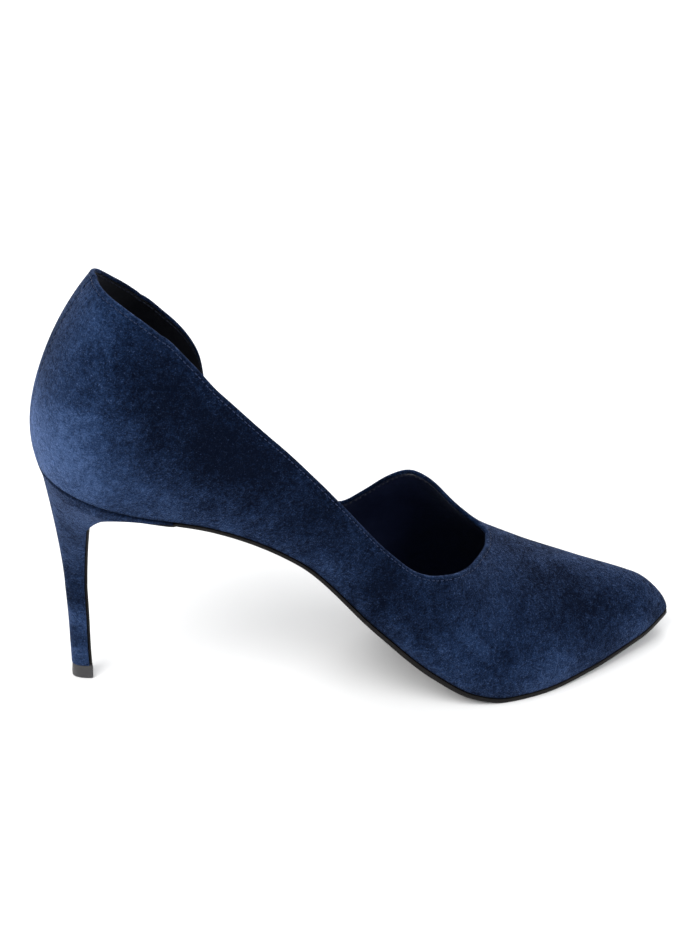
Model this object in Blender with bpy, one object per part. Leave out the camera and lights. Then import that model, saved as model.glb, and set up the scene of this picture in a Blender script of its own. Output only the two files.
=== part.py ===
"""Right shoe of a pair of slim, pointed pumps, open at the inner side of the waist.

Metres, +Z up, toe towards +X, inner side of the foot towards +Y.
Every form is worked out from the sizes below and from short tables of sections.
"""
import math

import bmesh
import bpy
import numpy as np

# Main sizes of the shoe
LENGTH = 0.228            # plan length from the back of the seat to the toe tip
BALL_WIDTH = 0.071        # across the feather line at the ball
HEEL_HEIGHT = 0.094       # floor to the back of the seat
INSTEP_HEIGHT = 0.094     # seat to the ridge of the last above it
SEAT_CENTRE = 0.027       # centre of the round seat, from its back
TOE_ROUND = 0.012         # length over which the toe is rounded off
FORWARD_LEAN_DEG = 10.0   # lean of the walls over the raised heel

# Thicknesses
WALL = 0.0016             # suede and lining together
SOCK = 0.0022             # insole board and sock
SOLE_FOREPART = 0.0018    # leather sole under the ball
SOLE_WAIST = 0.0013       # the same sole, skived under the waist
SOLE_FLAP = 0.0009        # the same sole, down the breast of the heel
GAP = 0.0003              # play between neighbouring pieces
FLAP_INSET = 0.0007       # the sole is this much narrower than the breast on each side
SOCK_INSET = 0.0009       # sock to lining

# Heel
TIP_HEIGHT = 0.0055       # hard top piece
TIP_BEVEL = 0.0004        # worn-off lower edge of the top piece
TIP_REACH = 0.0012        # the top piece reaches this far in front of the stem, under the flap
STEM_HEIGHT = 0.040       # height at which the stem starts to spread
STEM_FULLNESS = 0.85      # exponent of the stem's D-shaped section
CUP_END = 0.043           # the heel cup reaches this far forward under the waist
CUP_DEPTH = 0.0050        # thickness of the cup's rim at the back
CUP_TUCK = (0.35, 0.15)   # inset of the rim's lower edge at back and front, share of its depth
BREAST_ROUND = 0.0095     # radius between the breast and the cup
BREAST_DROP = 1.05         # the round starts this share of the radius under the cup
BREAST_PULL = 0.55        # handle length of the round, share of the radius
BREAST_FLARE = 0.68       # share of the breast's widening that happens below the cup
SPREAD_BACK = 1.3         # how late the back of the heel swings out to the seat
SPREAD_SIDE = 1.9         # how late the sides widen towards the cup
SPREAD_BLEND = (0.16, 0.96)  # part of the half ring over which back gives way to breast
SOLE_RAMP = 0.0012        # length over which the sole steps down under the cup
FLAP_HEIGHT = 0.0058      # the sole stops this far above the floor
FLAP_RAMP = 0.025         # length over which the flap thickens into the waist
SKIVE = (0.42, 0.60)      # shares of LENGTH between which the waist thickens to the forepart

# Shape of the collar
BACK_BULGE = 0.0145       # how far the back swells behind the seat
BACK_TOP = 0.0215         # ridge of the last to the back, at the top
BACK_FULLNESS = 0.9       # exponent that squares the round back a little

# Mesh density
FRONT_COLUMNS = 44        # columns of the upper from the toe to the seat, each side
BACK_COLUMNS = 14         # columns round the back, each side
AROUND = FRONT_COLUMNS + BACK_COLUMNS
UP = 11                   # rows of the upper
SOCK_ACROSS = 4           # columns of the sock
HEEL_ROUND = 9            # points round the back quarter of the heel
HEEL_SIDE = 7             # points along one side of the heel
STEM_ROWS = 5             # rings of the stem
BREAST_ROWS = 9           # points along each stretch of the breast
SOLE_ROWS = 60            # rows of the sole from the toe to the seat
FLAP_ROWS = 6             # rows of the sole down the stem
TOE_EASE = 0.10           # how strongly columns and rows crowd towards the toe
FAN = (0.35, 0.95)        # stations between which the rows turn from a fan to straight climbs
SHARP_DEG = 40.0          # edges over this angle are shaded sharp
NORMAL_ROUNDS = 2         # rounds of smoothing of the wall's direction

# Sections of the last. at: share of the way from the seat centre to the toe tip. bottom: share
# of the drop from heel to ball. lateral and medial: half widths as shares of BALL_WIDTH.
# crown: ridge height as a share of INSTEP_HEIGHT. ridge: its shift to the inner side, share of
# BALL_WIDTH. lean: share of FORWARD_LEAN_DEG. flare, wall, round: handles of the wall curve.
SECTIONS = (
    # at,   bottom, lateral, medial, crown, ridge, lean, flare, wall, round
    (0.000, 0.895, 0.331, 0.331, 1.000, 0.000, 1.00, 0.34, 0.25, 0.80),
    (0.150, 0.803, 0.331, 0.310, 0.980, 0.000, 1.00, 0.30, 0.27, 0.72),
    (0.297, 0.635, 0.352, 0.275, 0.905, 0.014, 1.00, 0.28, 0.28, 0.70),
    (0.433, 0.325, 0.408, 0.317, 0.766, 0.028, 0.80, 0.24, 0.30, 0.68),
    (0.535, 0.125, 0.469, 0.404, 0.628, 0.042, 0.40, 0.20, 0.33, 0.62),
    (0.609, 0.028, 0.500, 0.468, 0.530, 0.052, 0.10, 0.18, 0.37, 0.59),
    (0.665, 0.000, 0.496, 0.492, 0.458, 0.060, 0.00, 0.17, 0.39, 0.57),
    (0.728, 0.000, 0.458, 0.483, 0.384, 0.063, 0.00, 0.16, 0.42, 0.55),
    (0.830, 0.014, 0.332, 0.380, 0.278, 0.060, 0.00, 0.14, 0.45, 0.55),
    (0.921, 0.040, 0.186, 0.238, 0.192, 0.048, 0.00, 0.12, 0.48, 0.55),
    (1.000, 0.074, 0.052, 0.105, 0.098, 0.030, 0.00, 0.10, 0.50, 0.55),
)
SECTION_COLUMNS = ("at", "bottom", "lateral", "medial", "crown", "ridge", "lean", "flare",
                   "wall", "round")
SEAT_ROW = dict(zip(SECTION_COLUMNS, SECTIONS[0]))

# Top edge. foot: station at the sole, 0 at the toe tip, 1 at the seat centre, 2 at the back.
# along: station of the same column at the edge. up: how far up the wall the edge lies there.
LATERAL_EDGE = (
    # foot, along, up
    (0.00, 0.400, 1.00),
    (0.14, 0.408, 0.90),
    (0.28, 0.440, 0.73),
    (0.42, 0.505, 0.52),
    (0.56, 0.590, 0.365),
    (0.70, 0.700, 0.325),
    (0.80, 0.800, 0.374),
    (0.90, 0.900, 0.465),
    (0.95, 0.950, 0.538),
    (1.00, 1.000, 0.598),
    (1.06, 1.060, 0.609),
    (1.20, 1.200, 0.625),
    (1.50, 1.500, 0.641),
    (2.00, 2.000, 0.648),
)
MEDIAL_EDGE = (
    # foot, along, up
    (0.00, 0.400, 1.000),
    (0.14, 0.403, 0.955),
    (0.28, 0.417, 0.905),
    (0.40, 0.447, 0.855),
    (0.48, 0.486, 0.785),
    (0.54, 0.530, 0.648),
    (0.59, 0.572, 0.440),
    (0.63, 0.606, 0.272),
    (0.67, 0.645, 0.130),
    (0.72, 0.705, 0.080),
    (0.78, 0.785, 0.070),
    (0.83, 0.848, 0.150),
    (0.86, 0.871, 0.262),
    (0.89, 0.892, 0.362),
    (0.92, 0.922, 0.430),
    (0.96, 0.960, 0.484),
    (1.00, 1.000, 0.526),
    (1.06, 1.060, 0.540),
    (1.30, 1.300, 0.576),
    (1.60, 1.600, 0.616),
    (2.00, 2.000, 0.648),
)

# Stem of the heel. height: share of STEM_HEIGHT. back and front: metres from the back of the
# seat as shares of SEAT_CENTRE. half: half width, share of SEAT_CENTRE.
STEM = (
    # height, back, front, half
    (0.00, 0.425, 0.640, 0.135),
    (0.33, 0.400, 0.612, 0.132),
    (0.66, 0.375, 0.594, 0.138),
    (1.00, 0.337, 0.570, 0.150),
)

# Rim of the heel cup. at: share of CUP_END from the back. depth: share of CUP_DEPTH.
CUP_RIM = (
    # at, depth
    (0.00, 1.00),
    (0.28, 1.00),
    (0.50, 0.82),
    (0.66, 0.48),
    (1.00, 0.18),
)

# Plain materials: colour and roughness
SUEDE = ((0.030, 0.052, 0.130, 1.0), 0.85)
SOCK_LEATHER = ((0.008, 0.014, 0.045, 1.0), 0.45)
SOLE_LEATHER = ((0.010, 0.010, 0.011, 1.0), 0.35)
TIP_PLASTIC = ((0.045, 0.045, 0.048, 1.0), 0.50)


def curve(xs, ys, x, start_slope=None, limit=False):
    """Smooth cubic through the rows of a table; limit keeps it from overshooting."""
    xs = np.asarray(xs, float)
    ys = np.asarray(ys, float)
    step = np.diff(xs)
    rate = np.diff(ys) / step
    slope = np.zeros(len(xs))
    slope[0] = rate[0] if start_slope is None else start_slope
    slope[-1] = rate[-1]
    for i in range(1, len(xs) - 1):
        if not limit:
            slope[i] = (step[i] * rate[i - 1] + step[i - 1] * rate[i]) / (step[i] + step[i - 1])
        elif rate[i - 1] * rate[i] > 0.0:
            before = 2.0 * step[i] + step[i - 1]
            after = step[i] + 2.0 * step[i - 1]
            slope[i] = (before + after) / (before / rate[i - 1] + after / rate[i])
    x = np.clip(np.asarray(x, float), xs[0], xs[-1])
    k = np.clip(np.searchsorted(xs, x) - 1, 0, len(xs) - 2)
    t = (x - xs[k]) / step[k]
    level = (2.0 * t ** 3 - 3.0 * t ** 2 + 1.0) * ys[k] + (3.0 * t ** 2 - 2.0 * t ** 3) * ys[k + 1]
    bend = (t ** 3 - 2.0 * t ** 2 + t) * slope[k] + (t ** 3 - t ** 2) * slope[k + 1]
    return level + bend * step[k]


def section_share(x):
    """Share of the way from the seat centre to the toe tip."""
    return (x - SEAT_CENTRE) / (LENGTH - SEAT_CENTRE)


def column(name, x):
    """One column of SECTIONS at the distance x from the back."""
    index = SECTION_COLUMNS.index(name)
    rows = [row[0] for row in SECTIONS]
    values = [row[index] for row in SECTIONS]
    return curve(rows, values, section_share(x), start_slope=0.0)


def smooth(t):
    """Soft step from 0 to 1."""
    t = np.clip(t, 0.0, 1.0)
    return t * t * (3.0 - 2.0 * t)


def bezier(p0, p1, p2, p3, t):
    return p0 * (1 - t) ** 3 + 3 * p1 * t * (1 - t) ** 2 + 3 * p2 * t * t * (1 - t) + p3 * t ** 3


BALL_LEVEL = SOLE_FOREPART + GAP
DROP = HEEL_HEIGHT - BALL_LEVEL
SEAT_LEVEL = BALL_LEVEL + DROP * SEAT_ROW["bottom"]
SEAT_SLOPE = (HEEL_HEIGHT - SEAT_LEVEL) / SEAT_CENTRE
SEAT_TILT = math.atan(SEAT_SLOPE)
SEAT_LENGTH = SEAT_CENTRE / math.cos(SEAT_TILT)


def feather(x):
    """Height of the feather line: a straight seat, the waist, the flat ball and the toe spring."""
    rows = [row[0] for row in SECTIONS]
    shares = [row[1] for row in SECTIONS]
    start = -SEAT_SLOPE * (LENGTH - SEAT_CENTRE) / DROP
    share = curve(rows, shares, section_share(x), start_slope=start, limit=True)
    front = BALL_LEVEL + DROP * share
    seat = HEEL_HEIGHT - SEAT_SLOPE * x
    return np.where(x < SEAT_CENTRE, seat, front)


def station_x(station):
    """Distance from the back: station 0 is the toe tip and 1 the seat centre."""
    whole = math.hypot(1.0, TOE_EASE) - TOE_EASE
    share = (np.sqrt(station ** 2 + TOE_EASE ** 2) - TOE_EASE) / whole
    return LENGTH - (LENGTH - SEAT_CENTRE) * share


def toe_cap(x):
    """Share of the full section that is left near the rounded toe tip."""
    depth = np.clip((LENGTH - x) / TOE_ROUND, 0.0, 1.0)
    return np.sqrt(np.maximum(1.0 - (1.0 - depth) ** 2, 0.0))


def half_width(x, side):
    name = "lateral" if side < 0 else "medial"
    return BALL_WIDTH * column(name, x) * toe_cap(x)


def wall_height(station, up):
    """Height of the last's wall over the feather plane, up running from 0 to 1 at the ridge."""
    x = station_x(np.minimum(station, 1.0))
    crown = INSTEP_HEIGHT * column("crown", x) * toe_cap(x)
    front = bezier(0.0, column("wall", x) * crown, crown, crown, up)
    back = bezier(0.0, SEAT_ROW["wall"] * INSTEP_HEIGHT, INSTEP_HEIGHT, INSTEP_HEIGHT, up)
    turn = np.clip(station - 1.0, 0.0, 1.0) * math.pi / 2
    return front * np.cos(turn) ** 2 + back * np.sin(turn) ** 2


def last_surface(station, up, side):
    """Points of the last's wall. side: -1 outer, +1 inner side of the foot."""
    station, up = np.broadcast_arrays(np.asarray(station, float), np.asarray(up, float))
    x = station_x(np.minimum(station, 1.0))
    cap = toe_cap(x)
    width = half_width(x, side)
    ridge = side * BALL_WIDTH * column("ridge", x) * cap
    crown = INSTEP_HEIGHT * column("crown", x) * cap
    swell = width + column("flare", x) * column("wall", x) * crown
    shoulder = ridge + column("round", x) * (width - ridge)
    reach = bezier(width, swell, shoulder, ridge, up)
    height = wall_height(station, up)
    turn = np.clip(station - 1.0, 0.0, 1.0) * math.pi / 2
    back = bezier(SEAT_LENGTH, SEAT_LENGTH + BACK_BULGE, BACK_TOP, 0.0, up)
    behind = back * np.sin(turn) ** BACK_FULLNESS
    sideways = reach * np.cos(turn) ** BACK_FULLNESS
    lean = math.radians(FORWARD_LEAN_DEG) * column("lean", x)
    floor = feather(x)
    along = x - behind * math.cos(SEAT_TILT) + height * np.sin(lean)
    level = floor + behind * math.sin(SEAT_TILT) + height * np.cos(lean)
    return np.stack([along, side * sideways, level], -1)


def edge_of(foot, side):
    """Station and share of the wall at the top edge above a foot point."""
    table = np.array(LATERAL_EDGE if side < 0 else MEDIAL_EDGE)
    along = curve(table[:, 0], table[:, 1], foot, limit=True)
    up = curve(table[:, 0], table[:, 2], foot, limit=True)
    return along, up


def foot_stations():
    """Columns of the upper on each side, closer together along the seat's curve."""
    front = np.linspace(0.0, 1.0, FRONT_COLUMNS + 1)
    back = np.linspace(1.0, 2.0, BACK_COLUMNS + 1)
    return np.concatenate([front, back[1:]])


def upper_half(side):
    """Grid of the outer surface of one side: columns from the toe to the back, rows up."""
    foot = foot_stations()
    along, top = edge_of(foot, side)
    climb = np.linspace(0.0, 1.0, UP + 1)[None, :]
    angle = (1.0 - top) * math.pi / 2
    fan_x = along[:, None] * np.cos(angle)[:, None] * climb
    fan_y = foot[:, None] + (along * np.sin(angle) - foot)[:, None] * climb
    fan_station = np.hypot(fan_x, fan_y)
    fan_up = 1.0 - np.arctan2(fan_y, fan_x + 1e-12) * 2.0 / math.pi
    straight_station = foot[:, None] + (along - foot)[:, None] * climb
    straight_up = top[:, None] * climb
    mix = smooth((foot - FAN[0]) / (FAN[1] - FAN[0]))[:, None]
    station = fan_station * (1.0 - mix) + straight_station * mix
    up = fan_up * (1.0 - mix) + straight_up * mix
    return last_surface(station, np.clip(up, 0.0, 1.0), side)


def ring_normals(grid):
    """Normals of a grid whose columns close into a ring, pointing away from the foot."""
    around = np.roll(grid, -1, 0) - np.roll(grid, 1, 0)
    climb = np.gradient(grid, axis=1)
    normal = np.cross(around, climb)
    normal /= np.maximum(np.linalg.norm(normal, axis=-1, keepdims=True), 1e-12)
    for _ in range(NORMAL_ROUNDS):
        normal = normal + 0.5 * (np.roll(normal, 1, 0) + np.roll(normal, -1, 0))
        normal /= np.linalg.norm(normal, axis=-1, keepdims=True)
    return normal


def upper_grids():
    """Outer and inner grids of the upper, closed into a ring: toe, outer side, back, inner side."""
    outer_side = upper_half(-1)
    inner_side = upper_half(1)
    ring = np.concatenate([outer_side, inner_side[-2:0:-1]])
    normal = ring_normals(ring)
    centre = np.array([LENGTH / 2, 0.0, 0.0])
    if np.sum((ring[AROUND // 2, 0] - centre) * normal[AROUND // 2, 0]) < 0.0:
        normal = -normal
    inside = ring - normal * WALL
    inside[:, 0, 2] = feather(inside[:, 0, 0])
    return ring, inside


def make_object(name, points, faces, finish):
    """One closed mesh with its own plain material."""
    mesh = bpy.data.meshes.new(name)
    mesh.from_pydata([tuple(map(float, p)) for p in points], [], faces)
    mesh.update()
    shape = bmesh.new()
    shape.from_mesh(mesh)
    bmesh.ops.recalc_face_normals(shape, faces=shape.faces)
    bmesh.ops.triangulate(shape, faces=shape.faces)
    for face in shape.faces:
        face.smooth = True
    for edge in shape.edges:
        edge.smooth = edge.calc_face_angle(0.0) < math.radians(SHARP_DEG)
    shape.to_mesh(mesh)
    shape.free()
    material = bpy.data.materials.new(name + "_material")
    material.use_nodes = True
    shader = material.node_tree.nodes["Principled BSDF"]
    shader.inputs["Base Color"].default_value = finish[0]
    shader.inputs["Roughness"].default_value = finish[1]
    mesh.materials.append(material)
    item = bpy.data.objects.new(name, mesh)
    bpy.context.collection.objects.link(item)
    return item


def make_upper():
    outside, inside = upper_grids()
    columns, rows = outside.shape[:2]
    points = np.concatenate([outside.reshape(-1, 3), inside.reshape(-1, 3)])
    second = columns * rows
    faces = []
    for i in range(columns):
        j = (i + 1) % columns
        for k in range(rows - 1):
            quad = (i * rows + k, j * rows + k, j * rows + k + 1, i * rows + k + 1)
            faces.append(quad)
            faces.append(tuple(second + v for v in reversed(quad)))
        foot = (i * rows, j * rows)
        edge = (i * rows + rows - 1, j * rows + rows - 1)
        faces.append((foot[1], foot[0], second + foot[0], second + foot[1]))
        faces.append((edge[0], edge[1], second + edge[1], second + edge[0]))
    return make_object("upper", points, faces, SUEDE)


def plate(name, rows_low, rows_high, finish):
    """Closed plate from matching rows of points; the first or last row may be one point."""
    points = []
    index = []
    for rows in (rows_low, rows_high):
        level = []
        for row in rows:
            level.append(list(range(len(points), len(points) + len(row))))
            points.extend(row)
        index.append(level)
    faces = []
    for layer, level in enumerate(index):
        for a, b in zip(level[:-1], level[1:]):
            n = max(len(a), len(b))
            for i in range(n - 1):
                corners = [a[min(i, len(a) - 1)], b[min(i, len(b) - 1)],
                           b[min(i + 1, len(b) - 1)], a[min(i + 1, len(a) - 1)]]
                face = list(dict.fromkeys(corners))
                faces.append(face if layer else face[::-1])
    low, high = index
    loop_low = border(low)
    loop_high = border(high)
    for i in range(len(loop_low)):
        j = (i + 1) % len(loop_low)
        faces.append((loop_low[i], loop_low[j], loop_high[j], loop_high[i]))
    return make_object(name, points, faces, finish)


def border(level):
    """Outer loop of a plate's rows, without repeats."""
    loop = list(level[0])
    loop += [row[-1] for row in level[1:-1]]
    loop += list(level[-1])[::-1]
    loop += [row[0] for row in level[-2:0:-1]]
    return list(dict.fromkeys(loop))


def make_insole():
    """Sock inside the lining, on the feather surface."""
    _, inside = upper_grids()
    foot = inside[:, 0]
    count = len(foot)
    inward = np.roll(foot, -1, 0) - np.roll(foot, 1, 0)
    shift = np.stack([-inward[:, 1], inward[:, 0]], -1)
    shift /= np.linalg.norm(shift, axis=-1, keepdims=True)
    middle = np.array([LENGTH / 2, 0.0])
    probe = AROUND // 2
    if np.dot(shift[probe], middle - foot[probe, :2]) < 0.0:
        shift = -shift
    outline = foot[:, :2] + shift * SOCK_INSET
    width = [outline[-i % count, 1] - outline[i, 1] for i in range(AROUND)]
    start = max(i for i in range(FRONT_COLUMNS) if width[i] < 2.0 * SOCK_INSET) + 1
    low = []
    high = []
    across = np.linspace(0.0, 1.0, SOCK_ACROSS + 1)[:, None]
    for i in range(start, AROUND + 1):
        a = outline[i]
        b = outline[-i % count]
        row = a + (b - a) * across if i < AROUND else a[None, :]
        level = feather(row[:, 0])
        low.append(np.column_stack([row, level]))
        high.append(np.column_stack([row, level + SOCK]))
    return plate("insole", low, high, SOCK_LEATHER)


def cup_depth(x):
    """Thickness of the heel cup under the feather line."""
    table = np.array(CUP_RIM)
    return CUP_DEPTH * curve(table[:, 0], table[:, 1], x / CUP_END)


def cup_under(x):
    return feather(x) - GAP - cup_depth(x)


def stem_at(height):
    """Back, front and half width of the stem at a height over the floor."""
    table = np.array(STEM)
    share = height / STEM_HEIGHT
    return [SEAT_CENTRE * curve(table[:, 0], table[:, i], share) for i in (1, 2, 3)]


def breast_path():
    """Side view of the breast: up the stem, round the corner and forward under the cup."""
    front = float(stem_at(STEM_HEIGHT)[1])
    far = front + BREAST_ROUND
    handle = BREAST_PULL * BREAST_ROUND
    slope = float(cup_under(far) - cup_under(far - handle)) / handle
    start = np.array([front, float(cup_under(far)) - BREAST_DROP * BREAST_ROUND])
    end = np.array([far, float(cup_under(far))])
    turn = np.linspace(0.0, 1.0, BREAST_ROWS)[:, None]
    pull = end - handle * np.array([1.0, slope])
    lift = start + np.array([0.0, handle])
    arc = bezier(start, lift, pull, end, turn)
    rise = np.linspace(STEM_HEIGHT, start[1], BREAST_ROWS)[:-1]
    straight = np.column_stack([np.full(len(rise), front), rise])
    ahead = np.linspace(far, CUP_END, BREAST_ROWS // 2 + 1)[1:]
    under = np.column_stack([ahead, cup_under(ahead)])
    return np.concatenate([straight, arc, under])


def cup_outline(side):
    """Points of the cup's outline from the back centre to its front corner."""
    turn = np.linspace(2.0, 1.0, HEEL_ROUND + 1)
    back = last_surface(turn, np.zeros(len(turn)), side)
    xs = np.linspace(SEAT_CENTRE, CUP_END, HEEL_SIDE + 1)[1:]
    front = np.column_stack([xs, side * half_width(xs, side), feather(xs)])
    points = np.concatenate([back, front])
    points[:, 2] -= GAP
    return points


def stem_ring(height, side, reach=0.0):
    """Half of the D-shaped stem section, from the back centre to the front corner."""
    back, front, half = [float(v) for v in stem_at(height)]
    front += reach
    share = np.linspace(0.0, math.pi / 2, HEEL_ROUND + HEEL_SIDE + 1)
    x = front - (front - back) * np.cos(share)
    y = side * half * np.sin(share) ** STEM_FULLNESS
    return np.column_stack([x, y, np.full(len(share), height)])


def breast_spread(path):
    """How far the breast has widened, forward and up, along the breast path."""
    rise = (path[:, 1] - path[0, 1]) / (path[-1, 1] - path[0, 1])
    ahead = (path[:, 0] - path[0, 0]) / (path[-1, 0] - path[0, 0])
    return ahead, rise, BREAST_FLARE * rise ** SPREAD_SIDE + (1.0 - BREAST_FLARE) * ahead


def breast_half(path, side):
    """Half width of the breast and of the cup's underside along the breast path."""
    low = float(stem_at(STEM_HEIGHT)[2])
    high = float(half_width(CUP_END, side)) - GAP
    return low + (high - low) * breast_spread(path)[2]


def heel_half(side):
    """Rows of one side of the heel, each from the back centre to the front corner."""
    rows = [stem_ring(h, side) for h in np.linspace(TIP_HEIGHT + GAP, STEM_HEIGHT, STEM_ROWS)]
    foot = rows[-1]
    outline = cup_outline(side)
    path = breast_path()
    half = breast_half(path, side)
    lower = outline.copy()
    lower[:, 2] = outline[:, 2] - cup_depth(outline[:, 0])
    inset = np.linspace(*CUP_TUCK, len(lower)) * cup_depth(outline[:, 0])
    pull = np.array([SEAT_CENTRE, 0.0]) - lower[:, :2]
    pull /= np.linalg.norm(pull, axis=1, keepdims=True)
    pull[HEEL_ROUND:] = [0.0, -side]
    lower[:, :2] += pull * inset[:, None]
    front = np.stack(breast_spread(path))
    share = np.linspace(0.0, 1.0, len(path))
    back = np.stack([share ** SPREAD_BACK, share, share ** SPREAD_SIDE])
    along = np.linspace(0.0, 1.0, len(foot))
    weight = smooth((along - SPREAD_BLEND[0]) / (SPREAD_BLEND[1] - SPREAD_BLEND[0]))
    for i in range(1, len(path)):
        ahead, rise, wide = [back[k, i] * (1.0 - weight) + front[k, i] * weight for k in range(3)]
        row = foot + (lower - foot) * np.column_stack([ahead, wide, rise])
        row[-1] = [path[i, 0], side * half[i], path[i, 1]]
        rows.append(row)
    rows.append(outline)
    return rows


def make_heel():
    """Covered stiletto: D-shaped stem that spreads into a cup under the seat."""
    outer_rows = heel_half(-1)
    inner_rows = heel_half(1)
    points = []
    rings = []
    for a, b in zip(outer_rows, inner_rows):
        ring = np.concatenate([a, b[:0:-1]])
        rings.append(list(range(len(points), len(points) + len(ring))))
        points.extend(ring)
    faces = []
    for low, high in zip(rings[:-1], rings[1:]):
        for i in range(len(low)):
            j = (i + 1) % len(low)
            faces.append((low[i], low[j], high[j], high[i]))
    for ring, flip in ((rings[0], True), (rings[-1], False)):
        n = len(outer_rows[0])
        for i in range(n - 1):
            corners = [ring[i], ring[i + 1], ring[-i - 1], ring[-i % len(ring)]]
            face = list(dict.fromkeys(corners))
            faces.append(face[::-1] if flip else face)
    return make_object("heel", points, faces, SUEDE)


def make_heel_tip():
    """Hard top piece with a slightly worn lower edge."""
    points = []
    rings = []
    for level, grow in ((0.0, -TIP_BEVEL), (TIP_BEVEL, 0.0), (TIP_HEIGHT, 0.0)):
        outer = stem_ring(TIP_HEIGHT * 0.5, -1, TIP_REACH)
        inner = stem_ring(TIP_HEIGHT * 0.5, 1, TIP_REACH)
        ring = np.concatenate([outer, inner[:0:-1]])
        ring[:, 2] = level
        middle = ring[:, :2].mean(axis=0)
        away = ring[:, :2] - middle
        ring[:, :2] += grow * away / np.linalg.norm(away, axis=1, keepdims=True)
        rings.append(list(range(len(points), len(points) + len(ring))))
        points.extend(ring)
    faces = []
    for low, high in zip(rings[:-1], rings[1:]):
        for i in range(len(low)):
            j = (i + 1) % len(low)
            faces.append((low[i], low[j], high[j], high[i]))
    faces.append(rings[0][::-1])
    faces.append(rings[-1])
    return make_object("heel_tip", points, faces, TIP_PLASTIC)


def sole_thickness(x):
    waist = smooth((x / LENGTH - SKIVE[0]) / (SKIVE[1] - SKIVE[0]))
    thick = SOLE_WAIST + (SOLE_FOREPART - SOLE_WAIST) * waist
    flap = smooth((x - stem_at(STEM_HEIGHT)[1]) / FLAP_RAMP)
    return SOLE_FLAP + (thick - SOLE_FLAP) * flap


def make_outsole():
    """Thin sole from the toe, under the waist and the cup, and down the breast."""
    xs = station_x(np.linspace(0.0, 1.0, SOLE_ROWS))
    xs = xs[xs > CUP_END + SOLE_RAMP]
    xs = np.append(xs, CUP_END + SOLE_RAMP)
    top = feather(xs) - GAP
    rows = [(x, z, half_width(x, -1), half_width(x, 1)) for x, z in zip(xs, top)]
    path = breast_path()[::-1]
    outer = breast_half(breast_path(), -1)[::-1] - FLAP_INSET
    inner = breast_half(breast_path(), 1)[::-1] - FLAP_INSET
    tangent = np.gradient(path, axis=0)
    tangent /= np.linalg.norm(tangent, axis=1, keepdims=True)
    away = np.column_stack([-tangent[:, 1], tangent[:, 0]])
    path = path + away * GAP
    rows += [(p[0], p[1], a, b) for p, a, b in zip(path, outer, inner)]
    for height in np.linspace(STEM_HEIGHT, FLAP_HEIGHT, FLAP_ROWS)[1:]:
        _, front, wide = [float(v) for v in stem_at(height)]
        rows.append((front + GAP, height, wide - FLAP_INSET, wide - FLAP_INSET))
    line = np.array([row[:2] for row in rows])
    tangent = np.gradient(line, axis=0)
    tangent /= np.linalg.norm(tangent, axis=1, keepdims=True)
    down = np.column_stack([-tangent[:, 1], tangent[:, 0]])
    thick = sole_thickness(line[:, 0])
    bottom = line + down * thick[:, None]
    high = []
    low = []
    for (x, z, outer, inner), (bx, bz) in zip(rows, bottom):
        sides = (-outer, inner) if outer + inner > GAP else (0.0,)
        high.append([(x, y, z) for y in sides])
        low.append([(bx, y, bz) for y in sides])
    return plate("outsole", low, high, SOLE_LEATHER)


def settle(items):
    """Puts the middle of the box's underside on the origin."""
    corners = [v.co for item in items for v in item.data.vertices]
    low = [min(c[i] for c in corners) for i in range(3)]
    high = [max(c[i] for c in corners) for i in range(3)]
    shift = [-(low[0] + high[0]) / 2, -(low[1] + high[1]) / 2, -low[2]]
    for item in items:
        for vertex in item.data.vertices:
            for i in range(3):
                vertex.co[i] += shift[i]
        item.data.update()


def main():
    for item in list(bpy.data.objects):
        bpy.data.objects.remove(item, do_unlink=True)
    items = [make_upper(), make_insole(), make_outsole(), make_heel(), make_heel_tip()]
    settle(items)


main()
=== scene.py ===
"""Finish of a right stiletto pump in navy suede, built round its plain model.

Pieces: suede upper with a folded top edge, leather lining, edge and back stitches, sock,
leather sole with its breast flap, covered heel and hard top piece. Metres, toe towards +X.
"""
import math

import bpy
import numpy as np
from bpy.props import FloatProperty, FloatVectorProperty, IntProperty, PointerProperty
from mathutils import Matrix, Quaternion, Vector


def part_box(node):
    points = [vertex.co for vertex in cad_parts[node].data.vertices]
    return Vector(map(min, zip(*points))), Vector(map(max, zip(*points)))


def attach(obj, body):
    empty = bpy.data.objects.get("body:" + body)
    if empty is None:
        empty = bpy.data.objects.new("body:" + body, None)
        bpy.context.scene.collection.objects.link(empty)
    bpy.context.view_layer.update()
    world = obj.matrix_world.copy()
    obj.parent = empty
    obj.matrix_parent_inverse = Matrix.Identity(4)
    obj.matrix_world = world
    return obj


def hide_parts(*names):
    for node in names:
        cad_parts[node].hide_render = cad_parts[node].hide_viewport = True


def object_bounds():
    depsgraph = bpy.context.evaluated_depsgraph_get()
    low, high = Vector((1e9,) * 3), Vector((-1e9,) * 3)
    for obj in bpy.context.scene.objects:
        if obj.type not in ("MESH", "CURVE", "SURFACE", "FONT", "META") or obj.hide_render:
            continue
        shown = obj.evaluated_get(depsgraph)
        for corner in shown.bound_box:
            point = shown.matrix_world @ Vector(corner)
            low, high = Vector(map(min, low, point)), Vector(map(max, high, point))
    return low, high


bl_info = {
    "name": "Suede stiletto pump",
    "version": (1, 0, 0),
    "blender": (4, 5, 0),
    "location": "3D View > Sidebar > Pump",
    "description": "Builds the finished pieces of a suede stiletto pump",
    "category": "Object",
}

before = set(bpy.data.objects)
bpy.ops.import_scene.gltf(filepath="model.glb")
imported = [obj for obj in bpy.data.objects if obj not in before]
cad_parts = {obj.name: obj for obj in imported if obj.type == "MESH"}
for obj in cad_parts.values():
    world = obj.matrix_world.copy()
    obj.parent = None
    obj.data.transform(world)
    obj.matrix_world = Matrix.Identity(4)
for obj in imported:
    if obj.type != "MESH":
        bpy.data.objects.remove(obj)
CAD_BOX = [[float(v) for v in corner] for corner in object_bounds()]

MM = 0.001

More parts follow.
